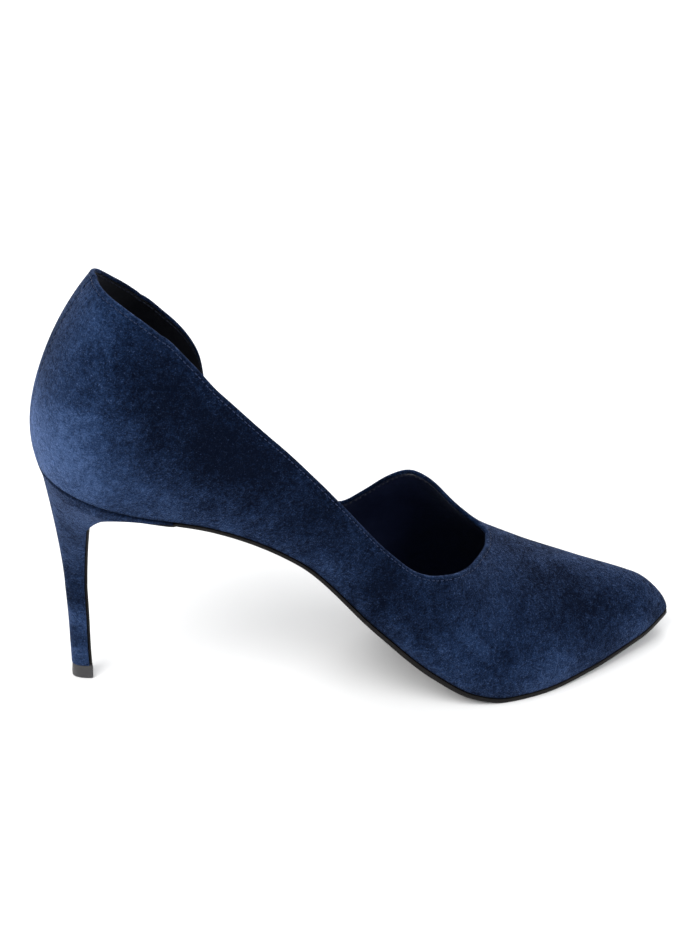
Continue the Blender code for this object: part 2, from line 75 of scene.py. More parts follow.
# Sizes of the last and of the pieces on it
LENGTH = 228 * MM
BALL_WIDTH = 71 * MM
HEEL_HEIGHT = 94 * MM
INSTEP_HEIGHT = 94 * MM
SEAT_CENTRE = 27 * MM
TOE_ROUND = 12 * MM
FORWARD_LEAN = math.radians(10.0)
BACK_BULGE = 14.5 * MM
BACK_TOP = 21.5 * MM
BACK_FULLNESS = 0.9
WALL = 1.6 * MM
SOCK = 2.2 * MM
SOLE_FOREPART = 1.8 * MM
SOLE_WAIST = 1.3 * MM
SOLE_FLAP = 0.9 * MM
GAP = 0.3 * MM
FLAP_INSET = 0.7 * MM

# Sizes of the heel
TIP_HEIGHT = 5.5 * MM
TIP_REACH = 1.2 * MM
STEM_HEIGHT = 40 * MM
STEM_FULLNESS = 0.85
CUP_END = 43 * MM
CUP_DEPTH = 5 * MM
CUP_TUCK = (0.35, 0.15)
BREAST_ROUND = 9.5 * MM
BREAST_DROP = 1.05
BREAST_PULL = 0.55
BREAST_FLARE = 0.68
SPREAD_BACK = 1.3
SPREAD_SIDE = 1.9
SPREAD_BLEND = (0.16, 0.96)
SOLE_RAMP = 1.2 * MM
FLAP_HEIGHT = 5.8 * MM
FLAP_RAMP = 25 * MM
SKIVE = (0.42, 0.60)

# How the columns of the wall run
TOE_EASE = 0.10
FAN = (0.35, 0.95)

# Sections of the last. at: share of the way from the seat centre to the toe tip. bottom: share
# of the drop from heel to ball. lateral and medial: half widths as shares of BALL_WIDTH.
# crown: ridge height as a share of INSTEP_HEIGHT. ridge: its shift to the inner side, share of
# BALL_WIDTH. lean: share of FORWARD_LEAN. flare, wall, round: handles of the wall curve.
SECTION_COLUMNS = ("at", "bottom", "lateral", "medial", "crown", "ridge", "lean", "flare",
                   "wall", "round")
SECTIONS = (
    (0.000, 0.895, 0.331, 0.331, 1.000, 0.000, 1.00, 0.34, 0.25, 0.80),
    (0.150, 0.803, 0.331, 0.310, 0.980, 0.000, 1.00, 0.30, 0.27, 0.72),
    (0.297, 0.635, 0.352, 0.275, 0.905, 0.014, 1.00, 0.28, 0.28, 0.70),
    (0.433, 0.325, 0.408, 0.317, 0.766, 0.028, 0.80, 0.24, 0.30, 0.68),
    (0.535, 0.125, 0.469, 0.404, 0.628, 0.042, 0.40, 0.20, 0.33, 0.62),
    (0.609, 0.028, 0.500, 0.468, 0.530, 0.052, 0.10, 0.18, 0.37, 0.59),
    (0.665, 0.000, 0.496, 0.492, 0.458, 0.060, 0.00, 0.17, 0.39, 0.57),
    (0.728, 0.000, 0.458, 0.483, 0.384, 0.063, 0.00, 0.16, 0.42, 0.55),
    (0.830, 0.014, 0.332, 0.380, 0.278, 0.060, 0.00, 0.14, 0.45, 0.55),
    (0.921, 0.040, 0.186, 0.238, 0.192, 0.048, 0.00, 0.12, 0.48, 0.55),
    (1.000, 0.074, 0.052, 0.105, 0.098, 0.030, 0.00, 0.10, 0.50, 0.55),
)
SEAT_ROW = dict(zip(SECTION_COLUMNS, SECTIONS[0]))

# Top edge. foot: station at the sole, 0 at the toe tip, 1 at the seat centre, 2 at the back.
# along: station of the same column at the edge. up: how far up the wall the edge lies there.
LATERAL_EDGE = (
    # foot, along, up
    (0.00, 0.400, 1.000),
    (0.14, 0.408, 0.900),
    (0.28, 0.440, 0.730),
    (0.42, 0.505, 0.520),
    (0.56, 0.590, 0.365),
    (0.70, 0.700, 0.325),
    (0.80, 0.800, 0.374),
    (0.90, 0.900, 0.465),
    (0.95, 0.950, 0.538),
    (1.00, 1.000, 0.598),
    (1.06, 1.060, 0.609),
    (1.20, 1.200, 0.625),
    (1.50, 1.500, 0.641),
    (2.00, 2.000, 0.648),
)
MEDIAL_EDGE = (
    # foot, along, up
    (0.00, 0.400, 1.000),
    (0.14, 0.403, 0.955),
    (0.28, 0.417, 0.905),
    (0.40, 0.447, 0.855),
    (0.48, 0.486, 0.785),
    (0.54, 0.530, 0.648),
    (0.59, 0.572, 0.440),
    (0.63, 0.606, 0.272),
    (0.67, 0.645, 0.130),
    (0.72, 0.705, 0.080),
    (0.78, 0.785, 0.070),
    (0.83, 0.848, 0.150),
    (0.86, 0.871, 0.262),
    (0.89, 0.892, 0.362),
    (0.92, 0.922, 0.430),
    (0.96, 0.960, 0.484),
    (1.00, 1.000, 0.526),
    (1.06, 1.060, 0.540),
    (1.30, 1.300, 0.576),
    (1.60, 1.600, 0.616),
    (2.00, 2.000, 0.648),
)

# Stem of the heel. height: share of STEM_HEIGHT. back, front, half: shares of SEAT_CENTRE.
STEM = (
    (0.00, 0.425, 0.640, 0.135),
    (0.33, 0.400, 0.612, 0.132),
    (0.66, 0.375, 0.594, 0.138),
    (1.00, 0.337, 0.570, 0.150),
)
# Rim of the heel cup. at: share of CUP_END from the back. depth: share of CUP_DEPTH.
CUP_RIM = (
    (0.00, 1.00),
    (0.28, 1.00),
    (0.50, 0.82),
    (0.66, 0.48),
    (1.00, 0.18),
)

# Soft creases of the suede, each a trough with a low ridge on both sides. side: -1 outer,
# +1 inner. start and end: station and share of the wall. width and depth in mm.
CREASES = (
    # side, start, end, width, depth
    (-1, (0.40, 0.20), (0.54, 0.30), 2.4, 0.45),
    (-1, (0.38, 0.30), (0.48, 0.40), 2.0, 0.35),
    (-1, (0.45, 0.10), (0.60, 0.20), 2.6, 0.35),
    (-1, (0.63, 0.03), (0.60, 0.22), 2.4, 0.28),
    (-1, (0.74, 0.02), (0.70, 0.19), 2.6, 0.24),
    (-1, (0.86, 0.04), (0.80, 0.26), 3.4, 0.24),
    (-1, (1.30, 0.10), (1.05, 0.30), 4.0, 0.20),
    (1, (0.40, 0.25), (0.52, 0.38), 2.4, 0.40),
    (1, (0.46, 0.10), (0.56, 0.24), 2.6, 0.35),
    (1, (0.95, 0.05), (0.92, 0.28), 3.2, 0.22),
)

# Brushed places of the suede with painted light and shade on them: side, station, share of the wall,
# radius in mm, strength. Above zero the suede is painted lighter, a painted highlight where the pile
# stands towards the light; below zero it is painted darker, a painted shade where the pile lies away
# from it.
BRUSHED_AND_PAINTED_LIGHT = (
    # side, station, up, radius, strength
    (-1, 1.75, 0.12, 18, 0.85),
    (-1, 1.45, 0.30, 20, 0.50),
    (-1, 1.60, 0.55, 14, 0.35),
    (-1, 1.20, 0.10, 16, 0.55),
    (-1, 0.95, 0.06, 13, 0.45),
    (-1, 0.84, 0.08, 10, 0.35),
    (-1, 0.92, 0.34, 20, -0.50),
    (-1, 1.02, 0.50, 14, -0.35),
    (-1, 0.80, 0.28, 15, -0.45),
    (-1, 0.70, 0.06, 9, 0.25),
    (-1, 0.62, 0.16, 13, -0.40),
    (-1, 0.72, 0.26, 10, -0.30),
    (-1, 0.50, 0.10, 13, 0.20),
    (-1, 0.44, 0.32, 11, 0.15),
    (-1, 0.30, 0.10, 14, 0.40),
    (-1, 0.25, 0.55, 14, -0.35),
    (-1, 0.14, 0.12, 9, 0.40),
    (1, 0.30, 0.30, 14, -0.30),
    (1, 0.46, 0.20, 12, 0.35),
    (1, 0.95, 0.20, 12, 0.30),
    (1, 1.30, 0.35, 16, -0.40),
    (1, 1.70, 0.20, 14, 0.45),
)
# Brushed places of the heel, with painted light and shade on them: height above the floor in mm, span
# in mm, strength
HEEL_BRUSHED_AND_PAINTED_LIGHT = (
    (10, 8, 0.62),
    (26, 7, 0.62),
    (43, 7, -0.10),
    (57, 9, 0.30),
    (74, 10, 0.42),
)


def curve(xs, ys, x, start_slope=None, limit=False):
    """Smooth cubic through the rows of a table; limit keeps it from overshooting."""
    xs = np.asarray(xs, float)
    ys = np.asarray(ys, float)
    step = np.diff(xs)
    rate = np.diff(ys) / step
    slope = np.zeros(len(xs))
    slope[0] = rate[0] if start_slope is None else start_slope
    slope[-1] = rate[-1]
    for i in range(1, len(xs) - 1):
        if not limit:
            slope[i] = (step[i] * rate[i - 1] + step[i - 1] * rate[i]) / (step[i] + step[i - 1])
        elif rate[i - 1] * rate[i] > 0.0:
            before = 2.0 * step[i] + step[i - 1]
            after = step[i] + 2.0 * step[i - 1]
            slope[i] = (before + after) / (before / rate[i - 1] + after / rate[i])
    x = np.clip(np.asarray(x, float), xs[0], xs[-1])
    k = np.clip(np.searchsorted(xs, x) - 1, 0, len(xs) - 2)
    t = (x - xs[k]) / step[k]
    level = (2.0 * t ** 3 - 3.0 * t ** 2 + 1.0) * ys[k] + (3.0 * t ** 2 - 2.0 * t ** 3) * ys[k + 1]
    bend = (t ** 3 - 2.0 * t ** 2 + t) * slope[k] + (t ** 3 - t ** 2) * slope[k + 1]
    return level + bend * step[k]


def smooth(t):
    """Soft step from 0 to 1."""
    t = np.clip(t, 0.0, 1.0)
    return t * t * (3.0 - 2.0 * t)


def hump(distance, width):
    """Soft bell of height 1 round distance 0."""
    return np.exp(-(distance / width) ** 2)


def bezier(p0, p1, p2, p3, t):
    return p0 * (1 - t) ** 3 + 3 * p1 * t * (1 - t) ** 2 + 3 * p2 * t * t * (1 - t) + p3 * t ** 3


def unit(vectors):
    """The vectors along the last axis at length 1."""
    return vectors / np.maximum(np.linalg.norm(vectors, axis=-1, keepdims=True), 1e-12)


# The last: the form that the upper is pulled over

BALL_LEVEL = SOLE_FOREPART + GAP
DROP = HEEL_HEIGHT - BALL_LEVEL
SEAT_LEVEL = BALL_LEVEL + DROP * SEAT_ROW["bottom"]
SEAT_SLOPE = (HEEL_HEIGHT - SEAT_LEVEL) / SEAT_CENTRE
SEAT_TILT = math.atan(SEAT_SLOPE)
SEAT_LENGTH = SEAT_CENTRE / math.cos(SEAT_TILT)


def section_share(x):
    """Share of the way from the seat centre to the toe tip."""
    return (x - SEAT_CENTRE) / (LENGTH - SEAT_CENTRE)


def column(name, x):
    """One column of SECTIONS at the distance x from the back."""
    index = SECTION_COLUMNS.index(name)
    rows = [row[0] for row in SECTIONS]
    values = [row[index] for row in SECTIONS]
    return curve(rows, values, section_share(x), start_slope=0.0)


def feather(x):
    """Height of the feather line: a straight seat, the waist, the flat ball and the toe spring."""
    rows = [row[0] for row in SECTIONS]
    shares = [row[1] for row in SECTIONS]
    start = -SEAT_SLOPE * (LENGTH - SEAT_CENTRE) / DROP
    share = curve(rows, shares, section_share(x), start_slope=start, limit=True)
    return np.where(x < SEAT_CENTRE, HEEL_HEIGHT - SEAT_SLOPE * x, BALL_LEVEL + DROP * share)


def station_x(station):
    """Distance from the back: station 0 is the toe tip and 1 the seat centre."""
    whole = math.hypot(1.0, TOE_EASE) - TOE_EASE
    share = (np.sqrt(station ** 2 + TOE_EASE ** 2) - TOE_EASE) / whole
    return LENGTH - (LENGTH - SEAT_CENTRE) * share


def toe_cap(x):
    """Share of the full section that is left near the rounded toe tip."""
    depth = np.clip((LENGTH - x) / TOE_ROUND, 0.0, 1.0)
    return np.sqrt(np.maximum(1.0 - (1.0 - depth) ** 2, 0.0))


def half_width(x, side):
    name = "lateral" if side < 0 else "medial"
    return BALL_WIDTH * column(name, x) * toe_cap(x)


def last_surface(station, up, side):
    """Points of the last's wall, up running from 0 to 1 at the ridge. side: -1 outer, +1 inner."""
    station, up = np.broadcast_arrays(np.asarray(station, float), np.asarray(up, float))
    x = station_x(np.minimum(station, 1.0))
    cap = toe_cap(x)
    width = half_width(x, side)
    ridge = side * BALL_WIDTH * column("ridge", x) * cap
    crown = INSTEP_HEIGHT * column("crown", x) * cap
    wall = column("wall", x) * crown
    shoulder = ridge + column("round", x) * (width - ridge)
    reach = bezier(width, width + column("flare", x) * wall, shoulder, ridge, up)
    turn = np.clip(station - 1.0, 0.0, 1.0) * math.pi / 2
    front = bezier(0.0, wall, crown, crown, up)
    rear = bezier(0.0, SEAT_ROW["wall"] * INSTEP_HEIGHT, INSTEP_HEIGHT, INSTEP_HEIGHT, up)
    height = front * np.cos(turn) ** 2 + rear * np.sin(turn) ** 2
    back = bezier(SEAT_LENGTH, SEAT_LENGTH + BACK_BULGE, BACK_TOP, 0.0, up)
    behind = back * np.sin(turn) ** BACK_FULLNESS
    sideways = reach * np.cos(turn) ** BACK_FULLNESS
    lean = FORWARD_LEAN * column("lean", x)
    along = x - behind * math.cos(SEAT_TILT) + height * np.sin(lean)
    level = feather(x) + behind * math.sin(SEAT_TILT) + height * np.cos(lean)
    return np.stack([along, side * sideways, level], -1)


def wall_side(foot, side, points):
    """Dense curves of one side, one for each foot station, from the top edge to the feather line."""
    table = np.array(LATERAL_EDGE if side < 0 else MEDIAL_EDGE)
    along = curve(table[:, 0], table[:, 1], foot, limit=True)
    top = curve(table[:, 0], table[:, 2], foot, limit=True)
    climb = np.linspace(1.0, 0.0, points)[None, :]
    angle = (1.0 - top) * math.pi / 2
    fan_x = along[:, None] * np.cos(angle)[:, None] * climb
    fan_y = foot[:, None] + (along * np.sin(angle) - foot)[:, None] * climb
    fan_up = 1.0 - np.arctan2(fan_y, fan_x + 1e-12) * 2.0 / math.pi
    straight = foot[:, None] + (along - foot)[:, None] * climb
    mix = smooth((foot - FAN[0]) / (FAN[1] - FAN[0]))[:, None]
    station = np.hypot(fan_x, fan_y) * (1.0 - mix) + straight * mix
    up = fan_up * (1.0 - mix) + top[:, None] * climb * mix
    return last_surface(station, np.clip(up, 0.0, 1.0), side)


class Wall:
    """The upper's wall: a ring of columns, each measured down from the top edge."""

    DENSE = 180          # points that each column is read from
    SHORT = 12 * MM      # columns shorter than this have their edge details scaled down
    CROWD = 1.4          # above 1, the columns crowd together towards the back centre

    def __init__(self, front, back):
        crowd = 2.0 - (1.0 - np.linspace(0.0, 1.0, back + 1)) ** self.CROWD
        foot = np.concatenate([np.linspace(0.0, 1.0, front + 1), crowd[1:]])
        outer = wall_side(foot, -1, self.DENSE)
        inner = wall_side(foot, 1, self.DENSE)
        self.half = len(foot)
        self.points = np.concatenate([outer, inner[-2:0:-1]])
        self.columns = len(self.points)
        length = np.linalg.norm(np.diff(self.points, axis=1), axis=-1)
        self.run = np.concatenate([np.zeros((self.columns, 1)), np.cumsum(length, 1)], 1)
        self.total = self.run[:, -1]
        self.scale = np.minimum(1.0, self.total / self.SHORT)
        self.normal = self.outward()

    def outward(self):
        around = np.roll(self.points, -1, 0) - np.roll(self.points, 1, 0)
        normal = unit(np.cross(around, np.gradient(self.points, axis=1)))
        for _ in range(4):
            normal = unit(normal + 0.5 * (np.roll(normal, 1, 0) + np.roll(normal, -1, 0)))
        probe = self.half // 2
        centre = np.array([LENGTH / 2, 0.0, 0.0])
        facing = np.sum((self.points[probe, -1] - centre) * normal[probe, -1])
        return normal if facing > 0.0 else -normal

    def read(self, drop, values):
        """Values of every column at the distances drop below the edge."""
        out = np.empty(drop.shape + (3,))
        for i in range(self.columns):
            for k in range(3):
                out[i, :, k] = np.interp(drop[i], self.run[i], values[i, :, k])
        return out

    def at(self, drop, depth):
        """Points and normals at the distances drop below the edge and depth under the outer face."""
        normal = unit(self.read(drop, self.normal))
        return self.read(drop, self.points) - normal * depth[..., None], normal

    def rows(self, near, far, tail):
        """Distances below the edge: near ones, far + 1 even steps, and tail ones above the sole."""
        scale = self.scale[:, None]
        head = np.array(near)[None, :] * scale
        end = self.total[:, None] - np.array(tail)[None, :] * scale
        share = np.linspace(0.0, 1.0, far + 2)[None, 1:-1]
        middle = head[:, -1:] + (end[:, :1] - head[:, -1:]) * share
        return np.concatenate([head, middle, end], 1)


COARSE = (44, 14)        # columns of the wall that the shift is read from


def offset():
    """Shift from the last's own frame to the part's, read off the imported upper."""
    low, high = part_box("upper")
    wall = Wall(*COARSE)
    foot = wall.points[..., 1]
    middle = (foot.min() + foot.max()) / 2
    return np.array([high[0] - LENGTH, (low[1] + high[1]) / 2 - middle, 0.0])


OFFSET = offset()


# Meshes

def volume(points, faces):
    """Signed volume of a closed mesh; below zero its faces point inwards."""
    total = 0.0
    for face in faces:
        a = points[face[0]]
        for i in range(1, len(face) - 1):
            total += float(np.dot(a, np.cross(points[face[i]], points[face[i + 1]])))
    return total / 6.0


def make_piece(name, points, faces, material, node, levels=None, sharp=50.0):
    """A finished piece: closed, facing outwards, smooth, riding on the shoe's body."""
    points = np.asarray(points, float)
    if volume(points - points.mean(axis=0), faces) < 0.0:
        faces = [face[::-1] for face in faces]
    mesh = bpy.data.meshes.new(name)
    mesh.from_pydata((points + OFFSET).tolist(), [], faces)
    for label, values in (levels or {}).items():
        layer = mesh.attributes.new(label, "FLOAT", "POINT")
        layer.data.foreach_set("value", np.asarray(values, float).ravel())
    mesh.shade_smooth()
    mesh.set_sharp_from_angle(angle=math.radians(sharp))
    mesh.materials.append(material)
    piece = bpy.data.objects.new(name, mesh)
    bpy.context.scene.collection.objects.link(piece)
    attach(piece, "root")
    if node:
        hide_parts(node)
    return piece


def tube_faces(columns, rows):
    """Quads of a grid that closes into a ring both ways."""
    faces = []
    for i in range(columns):
        j = (i + 1) % columns
        for k in range(rows):
            m = (k + 1) % rows
            faces.append((i * rows + k, j * rows + k, j * rows + m, i * rows + m))
    return faces


def ring_faces(rings, points):
    """Quads between rings of equal count, open at both ends."""
    faces = []
    for low in range(0, (rings - 1) * points, points):
        for i in range(points):
            j = (i + 1) % points
            faces.append((low + i, low + j, low + points + j, low + points + i))
    return faces


def loft_faces(rings, points):
    """Quads between rings of equal count, with both ends capped."""
    faces = ring_faces(rings, points)
    faces.append(tuple(range(points))[::-1])
    faces.append(tuple(range((rings - 1) * points, rings * points)))
    return faces


# Upper, lining and stitches

FRONT = 150              # columns of the upper from the toe to the seat, each side
BACK = 56                # columns round the back, each side
FOLD_LIP = 1.0 * MM      # the folded suede ends this far down inside
SUEDE_THICK = 0.85 * MM  # suede alone, under the fold
LINING_TOP = 1.15 * MM   # top of the lining under the edge
LINING_ROWS = (LINING_TOP, 1.3 * MM, 1.8 * MM, 2.4 * MM, 3.0 * MM, 5.0 * MM)
TUCK = 0.9 * MM          # radius of the suede where it turns under at the sole
TUCK_DEPTH = 0.55        # depth of that turn as a share of its radius
ROLL_POINTS = 11         # points round the folded edge
TUCK_POINTS = 5          # points round the turn at the sole
# Rows of the suede below the edge in mm: behind the lining, and on the outer face
HIDDEN_ROWS = (1.6, 3.0, 6.0)
OUTER_ROWS = (0.95, 1.15, 1.4, 1.65, 1.85, 2.0, 2.15, 2.3, 2.45, 2.6, 2.75, 2.95, 3.2, 3.6, 4.3,
              5.4)

CHANNEL_WIDTH = 0.32 * MM     # spread of the channel that the stitches pull in
PUFF_DROP = 1.05 * MM         # edge to the middle of its padding
PUFF_WIDTH = 0.45 * MM
CREASE_DROP = 3.0 * MM        # creases start this far below the edge
CREASE_FADE = 4.0 * MM        # and grow over this length from both sides
BACK_FADE = 10 * MM           # the back seam starts this gently behind the seat centre
BACK_SEAM_WIDTH = 0.30 * MM
HIGHLIGHT_DROP = 0.1 * MM          # edge to the middle of its band of painted highlight
HIGHLIGHT_WIDTH = 0.55 * MM
TUCK_SHADE = 1.3 * MM         # dark band above the sole
SKIN = 0.2 * MM               # what lies shallower than this is the outer face


def crease_relief(points):
    """Height of the listed creases over the plain wall, in metres."""
    height = np.zeros(points.shape[:-1])
    for side, start, end, width, depth in CREASES:
        share = np.linspace(0.0, 1.0, 9)
        stations = start[0] + (end[0] - start[0]) * share
        ups = start[1] + (end[1] - start[1]) * share
        line = last_surface(stations, ups, side)
        near = np.full(points.shape[:-1], 1.0)
        place = np.zeros(points.shape[:-1])
        for a, b, t in zip(line[:-1], line[1:], share[:-1]):
            along = b - a
            part = np.clip(np.sum((points - a) * along, -1) / np.dot(along, along), 0.0, 1.0)
            gap = np.linalg.norm(points - (a + part[..., None] * along), axis=-1)
            closer = gap < near
            near = np.where(closer, gap, near)
            place = np.where(closer, t + part * share[1], place)
        fade = np.sin(np.pi * np.clip(place, 0.02, 0.98)) ** 0.7
        trough = hump(near, width * MM)
        ridge = hump(near - 2.1 * width * MM, 1.1 * width * MM)
        height += depth * MM * fade * (0.5 * ridge - trough)
    return height


def swell(points):
    """Slow hand-formed waves of the leather, in metres."""
    x, y, z = [points[..., k] / MM for k in range(3)]
    wave = np.sin(x / 15.0 + 1.3 * np.sin(z / 19.0)) * np.sin(z / 12.0 + y / 21.0 + 0.6)
    wave += 0.5 * np.sin(x / 7.3 - z / 9.1 + 0.04 * y) * np.sin(z / 8.3 + 1.1)
    return 0.10 * MM * wave


def brushing_and_painted_light(points):
    """How the upper was brushed at each point, with painted light and shade on it, about -1 to 1."""
    value = np.zeros(points.shape[:-1])
    for side, station, up, radius, strength in BRUSHED_AND_PAINTED_LIGHT:
        centre = last_surface(station, up, side)
        gap = np.linalg.norm(points - centre, axis=-1)
        value += strength * hump(gap, radius * MM)
    return np.clip(value, -1.0, 1.0)


def suede_section(wall, edges):
    """Drops, depths and hidden rows of the suede's closed section, one column of the wall a row."""
    scale = wall.scale[:, None]
    radius = WALL / 2
    turn = np.linspace(0.0, math.pi, ROLL_POINTS)
    roll_drop = radius - radius * np.sin(turn)
    roll_depth = radius - radius * np.cos(turn)
    lip_drop = np.array([radius + 0.1 * MM, FOLD_LIP, FOLD_LIP + 0.1 * MM, FOLD_LIP])
    lip_depth = np.array([WALL, WALL - 0.05 * MM, WALL - 0.35 * MM, SUEDE_THICK])
    hidden = wall.rows(np.array(HIDDEN_ROWS) * MM, 7, np.array([3.0 * MM, 0.0]))
    bend = np.linspace(math.pi / 2, 0.0, TUCK_POINTS + 1)[None, :-1]
    under = wall.total[:, None] - TUCK * (1.0 - np.sin(bend)) * scale
    tucked = np.broadcast_to(TUCK_DEPTH * TUCK * (1.0 - np.cos(bend)), under.shape)
    tail = np.array([2.6 * MM, 1.6 * MM, TUCK])
    outer = wall.rows(np.array(OUTER_ROWS) * MM, edges.rows, tail)[:, ::-1]
    count = wall.columns
    drops = [roll_drop[None, :] * scale, lip_drop[None, :] * scale, hidden, under, outer]
    depths = [np.broadcast_to(roll_depth, (count, len(roll_depth))),
              np.broadcast_to(lip_depth, (count, len(lip_depth))),
              np.full(hidden.shape, SUEDE_THICK), tucked, np.zeros(outer.shape)]
    behind = np.concatenate([np.full(part.shape[1], part is hidden) for part in drops])
    return np.concatenate(drops, 1), np.concatenate(depths, 1), behind


def build_upper(wall, edges, material):
    """Suede upper with its folded edge, stitch channel, back seam and creases."""
    drop, depth, hidden = suede_section(wall, edges)
    points, normal = wall.at(drop, depth)
    left = wall.total[:, None] - drop
    level = drop / wall.scale[:, None]
    seen = ~hidden[None, :] * smooth((FOLD_LIP * 2 - depth) / FOLD_LIP)
    seam_level = level - edges.seam_drop * MM
    height = -edges.channel * MM * hump(seam_level, CHANNEL_WIDTH)
    height += edges.puff * MM * hump(level - PUFF_DROP, PUFF_WIDTH)
    inside = smooth((level - CREASE_DROP) / CREASE_FADE) * smooth(left / CREASE_FADE)
    creases = crease_relief(points) * inside
    height += creases + swell(points) * inside
    behind = smooth((SEAT_CENTRE - points[..., 0]) / BACK_FADE)
    height -= edges.back_seam * MM * hump(points[..., 1], BACK_SEAM_WIDTH) * behind
    points = points + normal * (height * seen)[..., None]
    points[..., 2] = np.maximum(points[..., 2], feather(points[..., 0]))
    # Painted highlight: a lighter band along the top of the folded edge and on the inner lip of the
    # fold
    wear_and_highlight = hump(level - HIGHLIGHT_DROP, HIGHLIGHT_WIDTH) * (depth < WALL * 0.98)
    lip_highlight = smooth((depth - WALL * 0.8) / (WALL * 0.2)) * ~hidden[None, :]
    # Painted shade: the inner half of the fold, a band above the sole, the stitch channel and back
    # seam in their grooves, and the troughs of the creases are made darker
    turned_in_shade = smooth((depth / WALL - 0.35) / 0.4)
    painted_shade = smooth(1.0 - left / TUCK_SHADE)
    seam = hump(seam_level, 0.30 * MM) * (depth < SKIN)
    seam = np.maximum(seam, 0.8 * hump(points[..., 1], 0.35 * MM) * behind * (depth < SKIN))
    # Tone of the brushed suede with painted light and shade on it, a painted highlight on the edge and
    # painted shade
    levels = {
        "nap_and_painted_light": brushing_and_painted_light(points),
        "edge": np.maximum(wear_and_highlight * 0.6, 0.8 * lip_highlight),
        "painted_shade": np.maximum(painted_shade, 0.45 * seam) + np.clip(-creases / (0.8 * MM), 0.0, 0.5)
        + 0.7 * turned_in_shade,
    }
    return make_piece("suede_upper", points.reshape(-1, 3), tube_faces(*drop.shape), material,
                      "upper", levels)


def build_lining(wall, material):
    """Leather lining under the folded edge, thin and rounded at its top."""
    front = wall.rows(LINING_ROWS, 24, np.array([3.0 * MM, 1.5 * MM, 0.0]))
    rear = wall.rows(LINING_ROWS[2:], 6, np.array([3.0 * MM, 0.0]))[:, ::-1]
    depth = np.concatenate([np.full(front.shape, WALL),
                            np.full(rear.shape, SUEDE_THICK + 0.1 * MM)], 1)
    depth[:, 0] = WALL - 0.35 * MM
    drop = np.concatenate([front, rear], 1)
    points, normal = wall.at(drop, depth)
    relief = 0.06 * MM * hump(drop / wall.scale[:, None] - 2.5 * MM, 0.35 * MM)
    relief[:, front.shape[1]:] = 0.0
    points = points + normal * relief[..., None]
    points[..., 2] = np.maximum(points[..., 2], feather(points[..., 0]))
    return make_piece("lining", points.reshape(-1, 3), tube_faces(*drop.shape), material, "upper")


def loop_at(wall, drop_mm, depth):
    """Closed line along the upper at a distance below the edge, with its outward normals."""
    drop = (drop_mm * MM * wall.scale)[:, None]
    points, normal = wall.at(drop, np.full(drop.shape, depth))
    return points[:, 0], normal[:, 0]


def along_line(line, extra, closed):
    """Reader of a line by length: returns its length and a function from length to point and extra."""
    if closed:
        line = np.concatenate([line, line[:1]])
        extra = np.concatenate([extra, extra[:1]])
    step = np.linalg.norm(np.diff(line, axis=0), axis=1)
    run = np.concatenate([[0.0], np.cumsum(step)])

    def read(distance):
        distance = np.mod(distance, run[-1]) if closed else distance
        point = np.stack([np.interp(distance, run, line[:, k]) for k in range(3)], -1)
        away = np.stack([np.interp(distance, run, extra[:, k]) for k in range(3)], -1)
        return point, unit(away)

    return run[-1], read


# Points of one stitch: place along it as a share of its half length, and share of its radius
STITCH = ((-1.0, 0.45), (-0.72, 0.85), (-0.36, 1.0), (0.0, 1.05), (0.36, 1.0), (0.72, 0.85),
          (1.0, 0.45))
STITCH_SIDES = 6
# Lift of a stitch's middle and sink of its ends
OUTER_BOW = (-0.02 * MM, 0.22 * MM)
LINING_BOW = (0.10 * MM, 0.16 * MM)
BACK_BOW = (-0.10 * MM, 0.34 * MM)
LINING_SEAM_DROP = 0.15              # the seam lies this much lower inside, in mm
BACK_ENDS = (3.4 * MM, 3.0 * MM)     # the back seam stops this far from the edge and the sole
BACK_STITCH = (2.4 * MM, 1.7 * MM)   # pitch and length


def stitch_row(line, away, closed, pitch, length, radius, bow_sizes):
    """Points and faces of a row of short bent stitches along a line."""
    lift, sink = bow_sizes
    whole, read = along_line(line, away, closed)
    count = max(1, int(whole / pitch))
    step = whole / count
    share, girth = np.array(STITCH).T
    points = []
    faces = []
    for i in range(count):
        slip = 0.06 * pitch * math.sin(i * 2.4) if closed else 0.0
        middle = (i + 0.5) * step + slip
        centre, up = read(middle + share * length / 2)
        bow = (1.0 - share ** 2) * (lift + sink) - sink
        centre = centre + up * bow[:, None]
        ahead = unit(np.gradient(centre, axis=0))
        aside = unit(np.cross(ahead, up))
        top = np.cross(aside, ahead)
        size = radius * girth * (1.0 + 0.08 * math.sin(i * 1.7))
        base = len(points)
        for k in range(len(share)):
            for m in range(STITCH_SIDES):
                angle = 2.0 * math.pi * m / STITCH_SIDES
                spread = aside[k] * math.cos(angle) * 1.1 + top[k] * math.sin(angle)
                points.append(centre[k] + spread * size[k])
        for face in loft_faces(len(share), STITCH_SIDES):
            faces.append(tuple(base + v for v in face))
    return points, faces


def join_rows(rows):
    """One list of points and faces from several rows."""
    points = []
    faces = []
    for row_points, row_faces in rows:
        base = len(points)
        points.extend(row_points)
        faces.extend(tuple(base + v for v in face) for face in row_faces)
    return points, faces


def back_line(wall):
    """Line down the back seam, with its outward normals."""
    index = wall.half - 1
    drop = np.linspace(BACK_ENDS[0], wall.total[index] - BACK_ENDS[1], 40)
    rows = np.repeat(drop[None, :], wall.columns, 0)
    points, normal = wall.at(rows, np.zeros(rows.shape))
    return points[index], normal[index]


